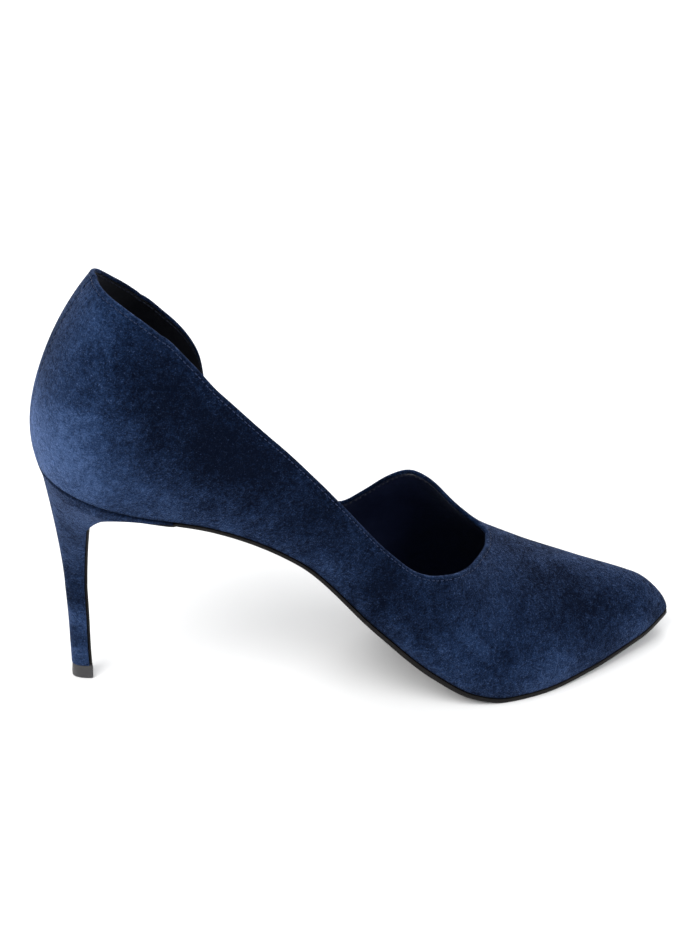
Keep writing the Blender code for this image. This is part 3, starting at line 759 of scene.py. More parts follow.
def build_stitches(wall, edges, thread, dark_thread):
    """Stitches round the edge, outside and in the lining, and down the back."""
    sizes = (edges.pitch * MM, edges.stitch_length * MM, edges.thread * MM)
    line, away = loop_at(wall, edges.seam_drop, 0.0)
    outer = stitch_row(line, away, True, *sizes, OUTER_BOW)
    line, away = loop_at(wall, edges.seam_drop + LINING_SEAM_DROP, WALL)
    inner = stitch_row(line, -away, True, *sizes, LINING_BOW)
    line, away = back_line(wall)
    back = stitch_row(line, away, False, *BACK_STITCH, sizes[2], BACK_BOW)
    for name, rows, material in (("edge_stitches", [outer, back], thread),
                                 ("lining_stitches", [inner], dark_thread)):
        points, faces = join_rows(rows)
        make_piece(name, points, faces, material, None)


# Sock

SOCK_INSET = 0.15 * MM   # sock to lining
SOCK_ACROSS = 28         # steps across the sock
SOCK_EDGE = 0.7 * MM     # radius of the sock's edge
SOCK_CROWN = 0.5 * MM    # rise of the cushion under the sock
CROWN_SPAN = 30 * MM     # the crown is full where the sock is this wide


def build_sock(wall, material):
    """Leather sock over its board, with a soft crown and rounded edges."""
    drop = wall.total[:, None]
    foot = wall.at(drop, np.full(drop.shape, WALL))[0][:, 0]
    count = len(foot)
    run = np.roll(foot, -1, 0) - np.roll(foot, 1, 0)
    shift = unit(np.stack([-run[:, 1], run[:, 0]], -1))
    probe = wall.half // 2
    if np.dot(shift[probe], np.array([LENGTH / 2, 0.0]) - foot[probe, :2]) < 0.0:
        shift = -shift
    outline = foot[:, :2] + shift * SOCK_INSET
    half = wall.half - 1
    width = [outline[-i % count, 1] - outline[i, 1] for i in range(half)]
    start = max(i for i in range(half // 2) if width[i] < 2.0 * SOCK_INSET) + 1
    across = 0.5 - 0.5 * np.cos(np.linspace(0.0, math.pi, SOCK_ACROSS + 1))
    rings = []
    for i in range(start, half):
        a = outline[i]
        b = outline[-i % count]
        row = a + (b - a) * across[:, None]
        span = float(np.linalg.norm(b - a))
        from_edge = np.minimum(across, 1.0 - across) * span
        edge = min(SOCK_EDGE, span / 4)
        inset = np.clip(1.0 - from_edge / edge, 0.0, 1.0)
        rise = SOCK - edge * (1.0 - np.sqrt(np.maximum(1.0 - inset ** 2, 0.0)))
        rise += SOCK_CROWN * np.sin(math.pi * across) ** 1.3 * smooth(span / CROWN_SPAN)
        level = feather(row[:, 0])
        top = np.column_stack([row, level + rise])
        low = np.column_stack([row, level])[::-1]
        rings.append(np.concatenate([top, low]))
    points = np.concatenate(rings)
    faces = loft_faces(len(rings), len(rings[0]))
    return make_piece("sock", points, faces, material, "insole")


# Heel, top piece and sole

RIM_GAP = 0.05 * MM      # heel cover to the upper
RIM_ROUND = 0.3 * MM     # how far the rim of the cup turns in
RIM_ROWS = (0.25, 0.50, 0.72, 0.90)     # rows up the side of the cup, shares of its depth
RIM_SHADE = (1.3 * MM, 1.1 * MM)        # dark band under the upper: its reach and its fade
END_SHADE = (7.0 * MM, 6.0 * MM)        # dark front end of the cup: its reach and its fade
HEEL_ROUND = 36          # steps round the back of the seat, each side
HEEL_SIDE = 28           # steps from there to the front of the cup
STEM_ROWS = 18
BREAST_ROWS = 28
# Top piece: height and growth over the stem, both in mm
TIP_BEVELS = ((0.0, -0.45), (0.10, -0.22), (0.30, 0.0), (1.2, 0.06), (3.0, 0.0), (5.1, -0.06),
              (5.35, -0.14), (5.5, -0.32))
SOLE_ROWS = 150
FLAP_ROWS = 20
SOLE_EDGE = 0.35 * MM
# Turned edge of the sole: how far in it lies and how deep, shares of SOLE_EDGE and thickness
EDGE_IN = (0.0, 0.0, 0.25, 1.0)
EDGE_DEEP = (0.10, 0.45, 0.80, 1.0)


def cup_depth(x):
    """Thickness of the heel cup under the feather line."""
    table = np.array(CUP_RIM)
    return CUP_DEPTH * curve(table[:, 0], table[:, 1], x / CUP_END)


def cup_under(x):
    return feather(x) - GAP - cup_depth(x)


def stem_at(height):
    """Back, front and half width of the stem at a height over the floor."""
    table = np.array(STEM)
    share = height / STEM_HEIGHT
    return [SEAT_CENTRE * curve(table[:, 0], table[:, i], share) for i in (1, 2, 3)]


def breast_path():
    """Side view of the breast: up the stem, round the corner and forward under the cup."""
    front = float(stem_at(STEM_HEIGHT)[1])
    far = front + BREAST_ROUND
    handle = BREAST_PULL * BREAST_ROUND
    slope = float(cup_under(far) - cup_under(far - handle)) / handle
    start = np.array([front, float(cup_under(far)) - BREAST_DROP * BREAST_ROUND])
    end = np.array([far, float(cup_under(far))])
    turn = np.linspace(0.0, 1.0, BREAST_ROWS)[:, None]
    pull = end - handle * np.array([1.0, slope])
    lift = start + np.array([0.0, handle])
    arc = bezier(start, lift, pull, end, turn)
    rise = np.linspace(STEM_HEIGHT, start[1], BREAST_ROWS)[:-1]
    straight = np.column_stack([np.full(len(rise), front), rise])
    ahead = np.linspace(far, CUP_END, BREAST_ROWS // 2 + 1)[1:]
    under = np.column_stack([ahead, cup_under(ahead)])
    return np.concatenate([straight, arc, under])


def cup_outline(side):
    """Points of the cup's outline from the back centre to its front corner."""
    turn = np.linspace(2.0, 1.0, HEEL_ROUND + 1)
    back = last_surface(turn, np.zeros(len(turn)), side)
    xs = np.linspace(SEAT_CENTRE, CUP_END, HEEL_SIDE + 1)[1:]
    front = np.column_stack([xs, side * half_width(xs, side), feather(xs)])
    points = np.concatenate([back, front])
    points[:, 2] -= GAP
    return points


def stem_ring(height, side, reach=0.0):
    """Half of the D-shaped stem section, from the back centre to the front corner."""
    back, front, half = [float(v) for v in stem_at(height)]
    front += reach
    share = np.linspace(0.0, math.pi / 2, HEEL_ROUND + HEEL_SIDE + 1)
    x = front - (front - back) * np.cos(share)
    y = side * half * np.sin(share) ** STEM_FULLNESS
    return np.column_stack([x, y, np.full(len(share), height)])


def breast_spread(path):
    """How far the breast has widened, forward and up, along the breast path."""
    rise = (path[:, 1] - path[0, 1]) / (path[-1, 1] - path[0, 1])
    ahead = (path[:, 0] - path[0, 0]) / (path[-1, 0] - path[0, 0])
    return ahead, rise, BREAST_FLARE * rise ** SPREAD_SIDE + (1.0 - BREAST_FLARE) * ahead


def breast_half(path, side):
    """Half width of the breast and of the cup's underside along the breast path."""
    low = float(stem_at(STEM_HEIGHT)[2])
    high = float(half_width(CUP_END, side)) - GAP
    return low + (high - low) * breast_spread(path)[2]


def heel_half(side):
    """Rows of one side of the heel, each from the back centre to the front corner."""
    rows = [stem_ring(h, side) for h in np.linspace(TIP_HEIGHT + GAP, STEM_HEIGHT, STEM_ROWS)]
    foot = rows[-1]
    outline = cup_outline(side)
    path = breast_path()
    half = breast_half(path, side)
    lower = outline.copy()
    lower[:, 2] = outline[:, 2] - cup_depth(outline[:, 0])
    inset = np.linspace(*CUP_TUCK, len(lower)) * cup_depth(outline[:, 0])
    pull = np.array([SEAT_CENTRE, 0.0]) - lower[:, :2]
    pull /= np.linalg.norm(pull, axis=1, keepdims=True)
    pull[HEEL_ROUND:] = [0.0, -side]
    lower[:, :2] += pull * inset[:, None]
    front = np.stack(breast_spread(path))
    share = np.linspace(0.0, 1.0, len(path))
    back = np.stack([share ** SPREAD_BACK, share, share ** SPREAD_SIDE])
    along = np.linspace(0.0, 1.0, len(foot))
    weight = smooth((along - SPREAD_BLEND[0]) / (SPREAD_BLEND[1] - SPREAD_BLEND[0]))
    for i in range(1, len(path)):
        ahead, rise, wide = [back[k, i] * (1.0 - weight) + front[k, i] * weight for k in range(3)]
        row = foot + (lower - foot) * np.column_stack([ahead, wide, rise])
        row[-1] = [path[i, 0], side * half[i], path[i, 1]]
        rows.append(row)
    rows += [lower + (outline - lower) * share for share in RIM_ROWS]
    away = outline[:, :2] - np.array([SEAT_CENTRE, 0.0])
    outline[:, :2] -= RIM_ROUND * unit(away)
    outline[:, 2] += GAP - RIM_GAP
    return rows + [outline]


def build_heel(material):
    """Covered stiletto: D-shaped stem that spreads into a cup under the seat."""
    rings = [np.concatenate([a, b[:0:-1]]) for a, b in zip(heel_half(-1), heel_half(1))]
    count = len(rings[0])
    points = np.concatenate(rings)
    faces = ring_faces(len(rings), count)
    half = HEEL_ROUND + HEEL_SIDE + 1
    for base, flip in ((0, True), ((len(rings) - 1) * count, False)):
        for i in range(half - 1):
            corners = [i, i + 1, count - i - 1, (count - i) % count]
            face = [base + v for v in dict.fromkeys(corners)]
            faces.append(tuple(face[::-1] if flip else face))
    # Bands of brushing up the heel, with painted light and shade on them
    nap_and_painted_light = np.zeros(len(points))
    for height, span, strength in HEEL_BRUSHED_AND_PAINTED_LIGHT:
        nap_and_painted_light += strength * hump(points[:, 2] - height * MM, span * MM)
    # Painted shade: a dark band under the upper's edge and a dark front end of the cup
    below = feather(points[:, 0]) - points[:, 2]
    under_cup_shade = smooth((RIM_SHADE[0] - below) / RIM_SHADE[1])
    cup_end_shade = smooth((points[:, 0] - CUP_END + END_SHADE[0]) / END_SHADE[1])
    levels = {"nap_and_painted_light": nap_and_painted_light, "edge": np.zeros(len(points)),
              "painted_shade": np.maximum(0.6 * under_cup_shade, 1.4 * cup_end_shade)}
    return make_piece("covered_heel", points, faces, material, "heel", levels, sharp=42.0)


def build_top_piece(material):
    """Hard top piece: bevelled at both ends and a little wider at the ground."""
    outer, inner = [stem_ring(TIP_HEIGHT * 0.5, side, TIP_REACH) for side in (-1, 1)]
    base = np.concatenate([outer, inner[:0:-1]])
    away = unit(base[:, :2] - base[:, :2].mean(axis=0))
    rings = []
    for level, grow in TIP_BEVELS:
        ring = base.copy()
        ring[:, :2] += grow * MM * away
        ring[:, 2] = level * MM
        rings.append(ring)
    faces = loft_faces(len(rings), len(rings[0]))
    return make_piece("top_piece", np.concatenate(rings), faces, material, "heel_tip",
                      sharp=60.0)


def sole_thickness(x):
    waist = smooth((x / LENGTH - SKIVE[0]) / (SKIVE[1] - SKIVE[0]))
    thick = SOLE_WAIST + (SOLE_FOREPART - SOLE_WAIST) * waist
    flap = smooth((x - stem_at(STEM_HEIGHT)[1]) / FLAP_RAMP)
    return SOLE_FLAP + (thick - SOLE_FLAP) * flap


def build_sole(material):
    """Thin sole from the toe, under the waist and the cup, and down the breast."""
    xs = station_x(np.linspace(0.004, 1.0, SOLE_ROWS))
    xs = xs[xs > CUP_END + SOLE_RAMP]
    xs = np.append(xs, CUP_END + SOLE_RAMP)
    top = feather(xs) - GAP
    rows = [(x, z, half_width(x, -1), half_width(x, 1)) for x, z in zip(xs, top)]
    path = breast_path()[::-1]
    outer, inner = [breast_half(breast_path(), side)[::-1] - FLAP_INSET for side in (-1, 1)]
    tangent = unit(np.gradient(path, axis=0))
    path = path + np.column_stack([-tangent[:, 1], tangent[:, 0]]) * GAP
    rows += [(p[0], p[1], a, b) for p, a, b in zip(path, outer, inner)]
    for height in np.linspace(STEM_HEIGHT, FLAP_HEIGHT, FLAP_ROWS)[1:]:
        _, front, wide = [float(v) for v in stem_at(height)]
        rows.append((front + GAP, height, wide - FLAP_INSET, wide - FLAP_INSET))
    line = np.array([row[:2] for row in rows], float)
    tangent = unit(np.gradient(line, axis=0))
    down = np.column_stack([-tangent[:, 1], tangent[:, 0]])
    thick = sole_thickness(line[:, 0])
    inset = np.array(EDGE_IN)
    sink = np.array(EDGE_DEEP)
    rings = []
    for (x, z, a, b), away, depth in zip(rows, down, thick):
        edge = min(SOLE_EDGE, (a + b) / 6)
        flat = np.linspace(-a + edge, b - edge, 9)
        ys = np.concatenate([[-a + edge / 3], flat, [b - edge / 3], b - inset * edge,
                             flat[::-1][1:-1], (-a + inset * edge)[::-1]])
        deep = np.concatenate([np.zeros(11), sink, np.ones(7), sink[::-1]]) * depth
        rings.append(np.column_stack([x + away[0] * deep, ys, z + away[1] * deep]))
    points = np.concatenate(rings)
    faces = loft_faces(len(rings), len(rings[0]))
    return make_piece("leather_sole", points, faces, material, "outsole",
                      sharp=60.0)


# Materials

class Nodes:
    """Short hand for the node tree of one material."""

    def __init__(self, name):
        self.material = bpy.data.materials.new(name)
        self.material.use_nodes = True
        self.tree = self.material.node_tree
        self.shader = self.tree.nodes["Principled BSDF"]

    def put(self, socket, value):
        """Links an output, or writes a plain value."""
        if isinstance(value, bpy.types.NodeSocket):
            self.tree.links.new(value, socket)
        else:
            socket.default_value = value

    def surface(self, **values):
        """Sets sockets of the shader; an underscore in a name stands for a space."""
        for name, value in values.items():
            self.put(self.shader.inputs[name.replace("_", " ")], value)

    def add(self, kind, output, inputs, **settings):
        """A new node with its settings and inputs; gives one of its outputs."""
        item = self.tree.nodes.new("ShaderNode" + kind)
        for name, value in settings.items():
            setattr(item, name, value)
        for name, value in inputs.items():
            self.put(item.inputs[name], value)
        return item.outputs[output]

    def place(self):
        return self.add("TexCoord", "Object", {})

    def axis(self, vector, name):
        return self.add("SeparateXYZ", name, {"Vector": vector})

    def attribute(self, name):
        return self.add("Attribute", "Fac", {}, attribute_name=name)

    def stretched(self, vector, scale, turn):
        """Coordinates turned, and then drawn out by the scale along their own axes."""
        return self.add("Mapping", "Vector", {"Vector": vector, "Rotation": turn, "Scale": scale},
                        vector_type="TEXTURE")

    def noise(self, vector, scale, detail=2.0, rough=0.5, distortion=0.0):
        return self.add("TexNoise", "Fac", {"Vector": vector, "Scale": scale, "Detail": detail,
                                            "Roughness": rough, "Distortion": distortion})

    def math(self, operation, a, b=0.0, clamp=False):
        return self.add("Math", 0, {0: a, 1: b}, operation=operation, use_clamp=clamp)

    def spread(self, value, low, high, to_low=0.0, to_high=1.0):
        """Value mapped from one range to another, held at its ends."""
        return self.add("MapRange", "Result", {"Value": value, "From Min": low, "From Max": high,
                                               "To Min": to_low, "To Max": to_high})

    def ramp(self, value, stops):
        item = self.tree.nodes.new("ShaderNodeValToRGB")
        self.put(item.inputs["Fac"], value)
        points = item.color_ramp.elements
        while len(points) < len(stops):
            points.new(1.0)
        for point, (place, colour) in zip(points, stops):
            point.position = place
            point.color = (*colour, 1.0)
        return item.outputs["Color"]

    def mix(self, share, a, b):
        """Colour between a and b; both are outputs or plain colours with alpha."""
        return self.add("Mix", 2, {0: share, 6: a, 7: b}, data_type="RGBA")

    def total(self, *parts):
        """Sum of (value, weight) pairs."""
        out = 0.0
        for value, weight in parts:
            out = self.math("ADD", self.math("MULTIPLY", value, weight), out)
        return out

    def bump(self, height, strength, distance, normal=None):
        inputs = {"Strength": strength, "Distance": distance, "Height": height}
        if normal is not None:
            inputs["Normal"] = normal
        return self.add("Bump", "Normal", inputs)


def solid(colour, factor=1.0):
    """A colour with alpha, lighter or darker by the factor."""
    return (*[part * factor for part in colour], 1.0)


# Turns of the four sets of fibres, painted as glints, that cross each other in the suede's pile
FIBRE_TURNS = ((0.3, 0.5, 0.2), (0.9, -0.7, 1.1), (-0.6, 0.2, -0.9), (1.4, 0.9, 2.0))
WAIST_BAND = (-0.030, -0.010)    # the lining changes from counter to front between these x


def suede_material(settings):
    """Navy suede: brushed clouds, fine speckle and short pale fibres painted as glints, with painted
    light, painted highlight and painted shade from the mesh's attributes.
    """
    n = Nodes("navy suede")
    where = n.place()
    cloud = n.spread(n.noise(where, 42.0, 3.0, 0.55, 0.4), 0.30, 0.70, -1.0, 1.0)
    patch = n.spread(n.noise(where, 150.0, 4.0, 0.62, 0.8), 0.30, 0.70, -1.0, 1.0)
    grain = n.spread(n.noise(where, 700.0, 4.0, 0.75), 0.30, 0.70, -1.0, 1.0)
    speckle = n.spread(n.noise(where, 2000.0, 2.0, 0.7), 0.30, 0.70, -1.0, 1.0)
    # The tone takes in painted light and shade: brushing with painted light on it, the painted
    # highlight on the folded edge, and painted shade
    level = n.total((n.attribute("nap_and_painted_light"), settings.contrast), (cloud, 0.10), (patch, 0.10),
                    (grain, 0.17), (speckle, 0.18), (n.attribute("edge"), 0.12),
                    (n.attribute("painted_shade"), -0.30))
    level = n.math("ADD", level, settings.lightness, clamp=True)
    colour = n.ramp(level, ((0.0, settings.deepest), (0.30, settings.dark),
                            (0.60, settings.middle), (1.0, settings.light)))
    # Pale fibres: painted glints of loose fibres catching the light, more of them where the suede is
    # lighter
    fibres = None
    for turn in FIBRE_TURNS:
        vector = n.stretched(where, (3.4, 1.0, 1.0), turn)
        strand = n.spread(n.noise(vector, 3000.0, 1.0, 0.5, 0.8), 0.68, 0.78)
        fibres = strand if fibres is None else n.math("MAXIMUM", fibres, strand)
    share = n.math("MULTIPLY", fibres, n.spread(level, 0.0, 0.8, 0.12, settings.fibres))
    colour = n.mix(share, colour, solid(settings.fibre))
    rough = n.bump(grain, 0.50, 0.30 * MM)
    rough = n.bump(speckle, 0.45, 0.15 * MM, rough)
    rough = n.bump(patch, 0.25, 0.5 * MM, rough)
    sheen = n.spread(level, 0.05, 0.80, settings.sheen * 0.06, settings.sheen)
    n.surface(Base_Color=colour, Roughness=0.95, Specular_IOR_Level=0.03, Normal=rough,
              Sheen_Weight=sheen, Sheen_Roughness=0.45, Sheen_Tint=(0.34, 0.46, 0.84, 1.0))
    return n.material


def leather_material(name, colour, roughness, grain, depth, back_colour=None):
    """Smooth lining leather with a fine grain, soft wrinkles and rubbed places.

    back_colour: colour behind the waist, where a darker skin lines the counter.
    """
    n = Nodes(name)
    where = n.place()
    fine = n.noise(where, grain, 4.0, 0.65)
    wrinkle = n.noise(n.stretched(where, (1.0, 2.8, 1.0), (0.0, 0.0, 0.5)), 240.0, 3.0, 0.6, 1.0)
    rubbed = n.spread(n.noise(where, 55.0, 3.0, 0.6), 0.35, 0.68)
    skin = n.mix(rubbed, solid(colour), solid(colour, 1.9))
    if back_colour is not None:
        front = n.spread(n.axis(where, "X"), *WAIST_BAND)
        skin = n.mix(front, solid(back_colour), skin)
    n.surface(Base_Color=skin,
              Roughness=n.spread(rubbed, 0.0, 1.0, roughness, roughness + 0.12),
              Specular_IOR_Level=0.5, Sheen_Weight=0.03, Sheen_Roughness=0.4,
              Sheen_Tint=(0.5, 0.6, 0.9, 1.0),
              Normal=n.bump(wrinkle, 0.22, 0.5 * MM, n.bump(fine, 0.35, depth * MM)))
    return n.material


def sole_material(colours):
    """Black sole leather with a waxed edge, a little scuffed."""
    n = Nodes("sole leather")
    where = n.place()
    scuff = n.noise(n.stretched(where, (4.0, 1.0, 1.0), (0.0, 0.0, 0.2)), 420.0, 4.0, 0.7)
    grain = n.noise(where, 1300.0, 3.0, 0.6)
    wear_and_highlight = n.spread(scuff, 0.52, 0.72)
    n.surface(Base_Color=n.mix(wear_and_highlight, solid(colours.sole), solid(colours.scuff)),
              Roughness=n.spread(wear_and_highlight, 0.0, 1.0, 0.50, 0.70), Specular_IOR_Level=0.12,
              Normal=n.bump(scuff, 0.20, 0.2 * MM, n.bump(grain, 0.25, 0.1 * MM)))
    return n.material


def tip_material(colours):
    """Charcoal plastic of the top piece, fine moulding grain and wear."""
    n = Nodes("top piece plastic")
    where = n.place()
    grain = n.noise(where, 2200.0, 3.0, 0.6)
    wear = n.spread(n.noise(n.stretched(where, (3.0, 3.0, 1.0), (0.0, 0.0, 0.0)), 380.0, 3.0, 0.6),
                    0.45, 0.75)
    n.surface(Base_Color=n.mix(wear, solid(colours.tip), solid(colours.tip_wear)),
              Roughness=n.spread(wear, 0.0, 1.0, 0.42, 0.58),
              Normal=n.bump(grain, 0.25, 0.08 * MM))
    return n.material


def thread_material(name, colour):
    """Twisted waxed thread."""
    n = Nodes(name)
    where = n.place()
    twist = n.noise(n.stretched(where, (1.0, 1.0, 2.5), (0.6, 0.2, 0.5)), 5200.0, 2.0, 0.5)
    n.surface(Base_Color=n.mix(n.spread(twist, 0.35, 0.7), solid(colour), solid(colour, 2.2)),
              Roughness=0.45, Specular_IOR_Level=0.25,
              Normal=n.bump(twist, 0.3, 0.05 * MM))
    return n.material


def floor_material(settings):
    """Pale matt ground with the faintest mottle."""
    n = Nodes("pale floor")
    mottle = n.noise(n.place(), 9.0, 3.0, 0.5)
    tone = settings.floor_tone
    n.surface(Base_Color=n.mix(mottle, (tone, tone, tone, 1.0),
                               (tone * 0.985, tone * 0.985, tone * 0.99, 1.0)),
              Roughness=0.9, Specular_IOR_Level=0.1)
    return n.material


# Settings and operators

def shade(name, description, default):
    """A colour that can be changed in the sidebar."""
    return FloatVectorProperty(name=name, description=description, default=default, min=0.0,
                               max=1.0, subtype="COLOR")


class PumpEdges(bpy.types.PropertyGroup):
    rows: IntProperty(name="Wall rows", description="Rows of the wall below the edge details",
                      default=34, min=8, max=60)
    seam_drop: FloatProperty(name="Seam drop", description="Edge to its row of stitches, in mm",
                             default=1.85, min=1.0, max=5.0)
    channel: FloatProperty(name="Channel", description="Depth the stitches pull in, in mm",
                           default=0.15, min=0.0, max=0.5)
    puff: FloatProperty(name="Puff", description="Swelling of the folded edge, in mm",
                        default=0.10, min=0.0, max=0.5)
    back_seam: FloatProperty(name="Back seam", description="Depth of the back seam, in mm",
                             default=0.35, min=0.0, max=0.6)
    pitch: FloatProperty(name="Pitch", description="Length of one stitch and its space, in mm",
                         default=1.9, min=0.8, max=5.0)
    stitch_length: FloatProperty(name="Stitch", description="Length of one stitch, in mm",
                                 default=1.4, min=0.5, max=4.0)
    thread: FloatProperty(name="Thread", description="Radius of the thread, in mm",
                          default=0.15, min=0.05, max=0.5)


class PumpSuede(bpy.types.PropertyGroup):
    lightness: FloatProperty(name="Lightness", description="Tone of unbrushed suede",
                             default=0.24, min=0.0, max=1.0, subtype="FACTOR")
    # Brushing here also carries the painted light and shade
    contrast: FloatProperty(name="Contrast", description="How far brushing changes the tone",
                            default=0.52, min=0.0, max=1.0, subtype="FACTOR")
    fibres: FloatProperty(name="Fibres", description="Strength of the pale fibres",
                          default=0.50, min=0.0, max=1.0, subtype="FACTOR")
    sheen: FloatProperty(name="Sheen", description="Strength of the soft rim of light",
                         default=0.50, min=0.0, max=1.0, subtype="FACTOR")
    # These four tones also carry painted light and shade: the deepest is painted shade in folds and
    # creases, the lightest painted highlight
    deepest: shade("Deepest", "Suede in folds and brushed fully down", (0.0007, 0.0024, 0.0090))
    dark: shade("Dark", "Suede a little lighter than unbrushed", (0.0029, 0.0094, 0.0300))
    middle: shade("Middle", "Suede brushed up", (0.0122, 0.0298, 0.0810))
    light: shade("Light", "Suede at its lightest", (0.0500, 0.0930, 0.2120))
    fibre: shade("Fibre", "Loose fibres that catch the light", (0.11, 0.17, 0.35))


class PumpColours(bpy.types.PropertyGroup):
    sock: shade("Sock", "Leather of the sock", (0.0035, 0.0085, 0.0330))
    lining: shade("Lining", "Leather of the lining, in front", (0.0016, 0.0030, 0.0120))
    counter: shade("Counter", "Leather of the lining, at the back", (0.0011, 0.0011, 0.0018))
    sole: shade("Sole", "Leather of the sole", (0.0045, 0.0038, 0.0038))
    scuff: shade("Scuffs", "Worn places of the sole", (0.014, 0.012, 0.011))
    tip: shade("Top piece", "Plastic of the top piece", (0.026, 0.025, 0.027))
    tip_wear: shade("Top piece wear", "Worn places of the top piece", (0.050, 0.049, 0.051))
    edge_thread: shade("Edge thread", "Thread outside", (0.0080, 0.0160, 0.0440))
    lining_thread: shade("Lining thread", "Thread in the lining", (0.0040, 0.0060, 0.0140))


class PumpStage(bpy.types.PropertyGroup):
    floor_size: FloatProperty(name="Floor", description="Width of the floor, in metres",
                              default=9.0, min=1.0, unit="LENGTH")
    floor_tone: FloatProperty(name="Floor tone", description="How pale the floor is",
                              default=0.86, min=0.0, max=1.0, subtype="FACTOR")
    sky: FloatProperty(name="Sky", description="Strength of the even light from all round",
                       default=0.85, min=0.0, max=5.0)
    sky_tint: FloatVectorProperty(name="Sky tint", description="Colour of that light",
                                  default=(0.98, 0.99, 1.0), subtype="COLOR")


class PumpPiece(bpy.types.Operator):
    """Shared setting of the pump's operators"""

    bl_options = {"REGISTER", "UNDO"}

    def wall(self):
        return Wall(FRONT, BACK)


class PUMP_OT_upper(PumpPiece):
    """Build the suede upper with its folded edge"""

    bl_idname = "pump.upper"
    bl_label = "Suede upper"

    def execute(self, context):
        scene = context.scene
        build_upper(self.wall(), scene.pump_edges, suede_material(scene.pump_suede))
        return {"FINISHED"}


class PUMP_OT_lining(PumpPiece):
    """Build the leather lining"""

    bl_idname = "pump.lining"
    bl_label = "Lining"

    def execute(self, context):
        colours = context.scene.pump_colours
        material = leather_material("lining leather", colours.lining, 0.34, 1500.0, 0.12,
                                    colours.counter)
        build_lining(self.wall(), material)
        return {"FINISHED"}


class PUMP_OT_stitches(PumpPiece):
    """Build the stitches along the edge, in the lining and down the back"""

    bl_idname = "pump.stitches"
    bl_label = "Stitches"

    def execute(self, context):
        colours = context.scene.pump_colours
        thread = thread_material("edge thread", colours.edge_thread)
        dark = thread_material("lining thread", colours.lining_thread)
        build_stitches(self.wall(), context.scene.pump_edges, thread, dark)
        return {"FINISHED"}


class PUMP_OT_sock(PumpPiece):
    """Build the leather sock"""

    bl_idname = "pump.sock"
    bl_label = "Sock"

    def execute(self, context):
        colours = context.scene.pump_colours
        material = leather_material("sock leather", colours.sock, 0.34, 1200.0, 0.16)
        build_sock(self.wall(), material)
        return {"FINISHED"}


class PUMP_OT_heel(PumpPiece):
    """Build the covered heel and its top piece"""

    bl_idname = "pump.heel"
    bl_label = "Heel and top piece"

    def execute(self, context):
        build_heel(suede_material(context.scene.pump_suede))
        build_top_piece(tip_material(context.scene.pump_colours))
        return {"FINISHED"}


class PUMP_OT_sole(PumpPiece):
    """Build the leather sole with its flap down the breast of the heel"""

    bl_idname = "pump.sole"
    bl_label = "Sole"

    def execute(self, context):
        build_sole(sole_material(context.scene.pump_colours))
        return {"FINISHED"}


# Place of the camera in the shoe's frame, and the view that it was first turned to
CAMERA_PLACE = Vector((-0.1730, -0.7510, 0.6187))
CAMERA_FIRST_AIM = Vector((-0.0674, 0.0004, 0.0470))
CAMERA_ROLL = math.radians(0.8)
CAMERA_AIM_SHIFT = Vector((-0.0065, 0.0, 0.0))
LENS = 106.0
# Lamps: name, place, size, power and tint
LAMPS = (
    ("key", (-0.75, -0.35, 1.10), 0.9, 13.0, (1.0, 0.99, 0.97)),
    ("fill", (0.85, -0.80, 0.80), 1.0, 6.0, (0.96, 0.98, 1.0)),
    ("back", (0.15, 1.10, 0.90), 1.0, 9.0, (1.0, 1.0, 1.0)),
)


def turned(place, target, roll):
    """Rotation that looks from place to target with a roll about the view."""
    look = (target - place).to_track_quat("-Z", "Y")
    return look @ Quaternion((0.0, 0.0, 1.0), roll)


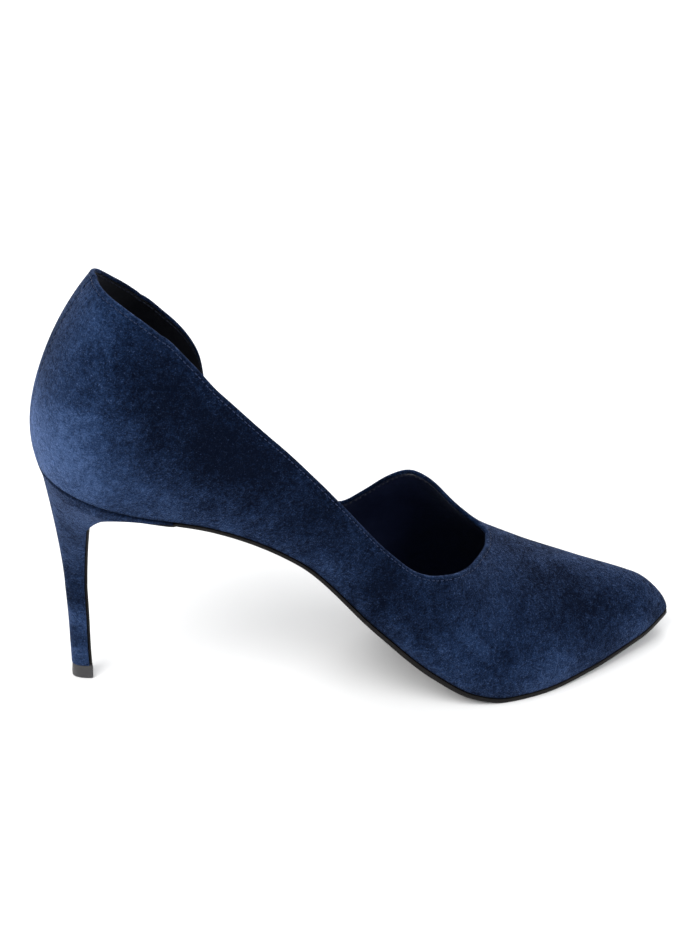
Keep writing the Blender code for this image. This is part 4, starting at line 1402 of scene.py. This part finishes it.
class PUMP_OT_stage(PumpPiece):
    """Set the floor, the lights and the camera"""

    bl_idname = "pump.stage"
    bl_label = "Stage"

    def execute(self, context):
        scene = context.scene
        settings = scene.pump_stage
        bpy.ops.mesh.primitive_plane_add(size=settings.floor_size, location=(0.0, 0.0, 0.0))
        floor = context.object
        floor.name = "floor"
        floor.data.materials.append(floor_material(settings))
        world = scene.world or bpy.data.worlds.new("Studio")
        scene.world = world
        world.use_nodes = True
        sky = world.node_tree.nodes["Background"]
        sky.inputs["Color"].default_value = (*settings.sky_tint, 1.0)
        sky.inputs["Strength"].default_value = settings.sky
        for name, place, size, power, tint in LAMPS:
            data = bpy.data.lights.new(name, "AREA")
            data.shape = "DISK"
            data.size = size
            data.energy = power
            data.color = tint
            lamp = bpy.data.objects.new(name, data)
            lamp.location = place
            lamp.rotation_euler = (-Vector(place)).to_track_quat("-Z", "Y").to_euler()
            scene.collection.objects.link(lamp)
        low, high = [Vector(corner) for corner in CAD_BOX]
        first = turned(CAMERA_PLACE, CAMERA_FIRST_AIM, CAMERA_ROLL)
        forward = first @ Vector((0.0, 0.0, -1.0))
        wanted = ((low + high) / 2 + CAMERA_AIM_SHIFT - CAMERA_PLACE).normalized()
        data = bpy.data.cameras.new("view")
        data.lens = LENS
        data.sensor_width = 36.0
        data.clip_start = 0.01
        camera = bpy.data.objects.new("view", data)
        camera.location = CAMERA_PLACE
        camera.rotation_mode = "QUATERNION"
        camera.rotation_quaternion = forward.rotation_difference(wanted) @ first
        scene.collection.objects.link(camera)
        scene.camera = camera
        scene.view_settings.view_transform = "Standard"
        return {"FINISHED"}


OPERATORS = (PUMP_OT_upper, PUMP_OT_lining, PUMP_OT_stitches, PUMP_OT_sock, PUMP_OT_heel,
             PUMP_OT_sole, PUMP_OT_stage)
SETTINGS = (("pump_edges", PumpEdges), ("pump_suede", PumpSuede), ("pump_colours", PumpColours),
            ("pump_stage", PumpStage))


class PUMP_PT_pieces(bpy.types.Panel):
    """The pump's pieces and settings"""

    bl_label = "Pump"
    bl_space_type = "VIEW_3D"
    bl_region_type = "UI"
    bl_category = "Pump"

    def draw(self, context):
        for operator in OPERATORS:
            self.layout.operator(operator.bl_idname)
        for name, group in SETTINGS:
            box = self.layout.box()
            for field in group.__annotations__:
                box.prop(getattr(context.scene, name), field)


def register():
    for name, group in SETTINGS:
        bpy.utils.register_class(group)
        setattr(bpy.types.Scene, name, PointerProperty(type=group))
    for operator in OPERATORS:
        bpy.utils.register_class(operator)
    bpy.utils.register_class(PUMP_PT_pieces)


def unregister():
    bpy.utils.unregister_class(PUMP_PT_pieces)
    for operator in reversed(OPERATORS):
        bpy.utils.unregister_class(operator)
    for name, group in reversed(SETTINGS):
        delattr(bpy.types.Scene, name)
        bpy.utils.unregister_class(group)


def main():
    register()
    bpy.ops.pump.upper()
    bpy.ops.pump.lining()
    bpy.ops.pump.stitches()
    bpy.ops.pump.sock()
    bpy.ops.pump.heel()
    bpy.ops.pump.sole()
    bpy.ops.pump.stage()


if __name__ == "__main__":
    main()
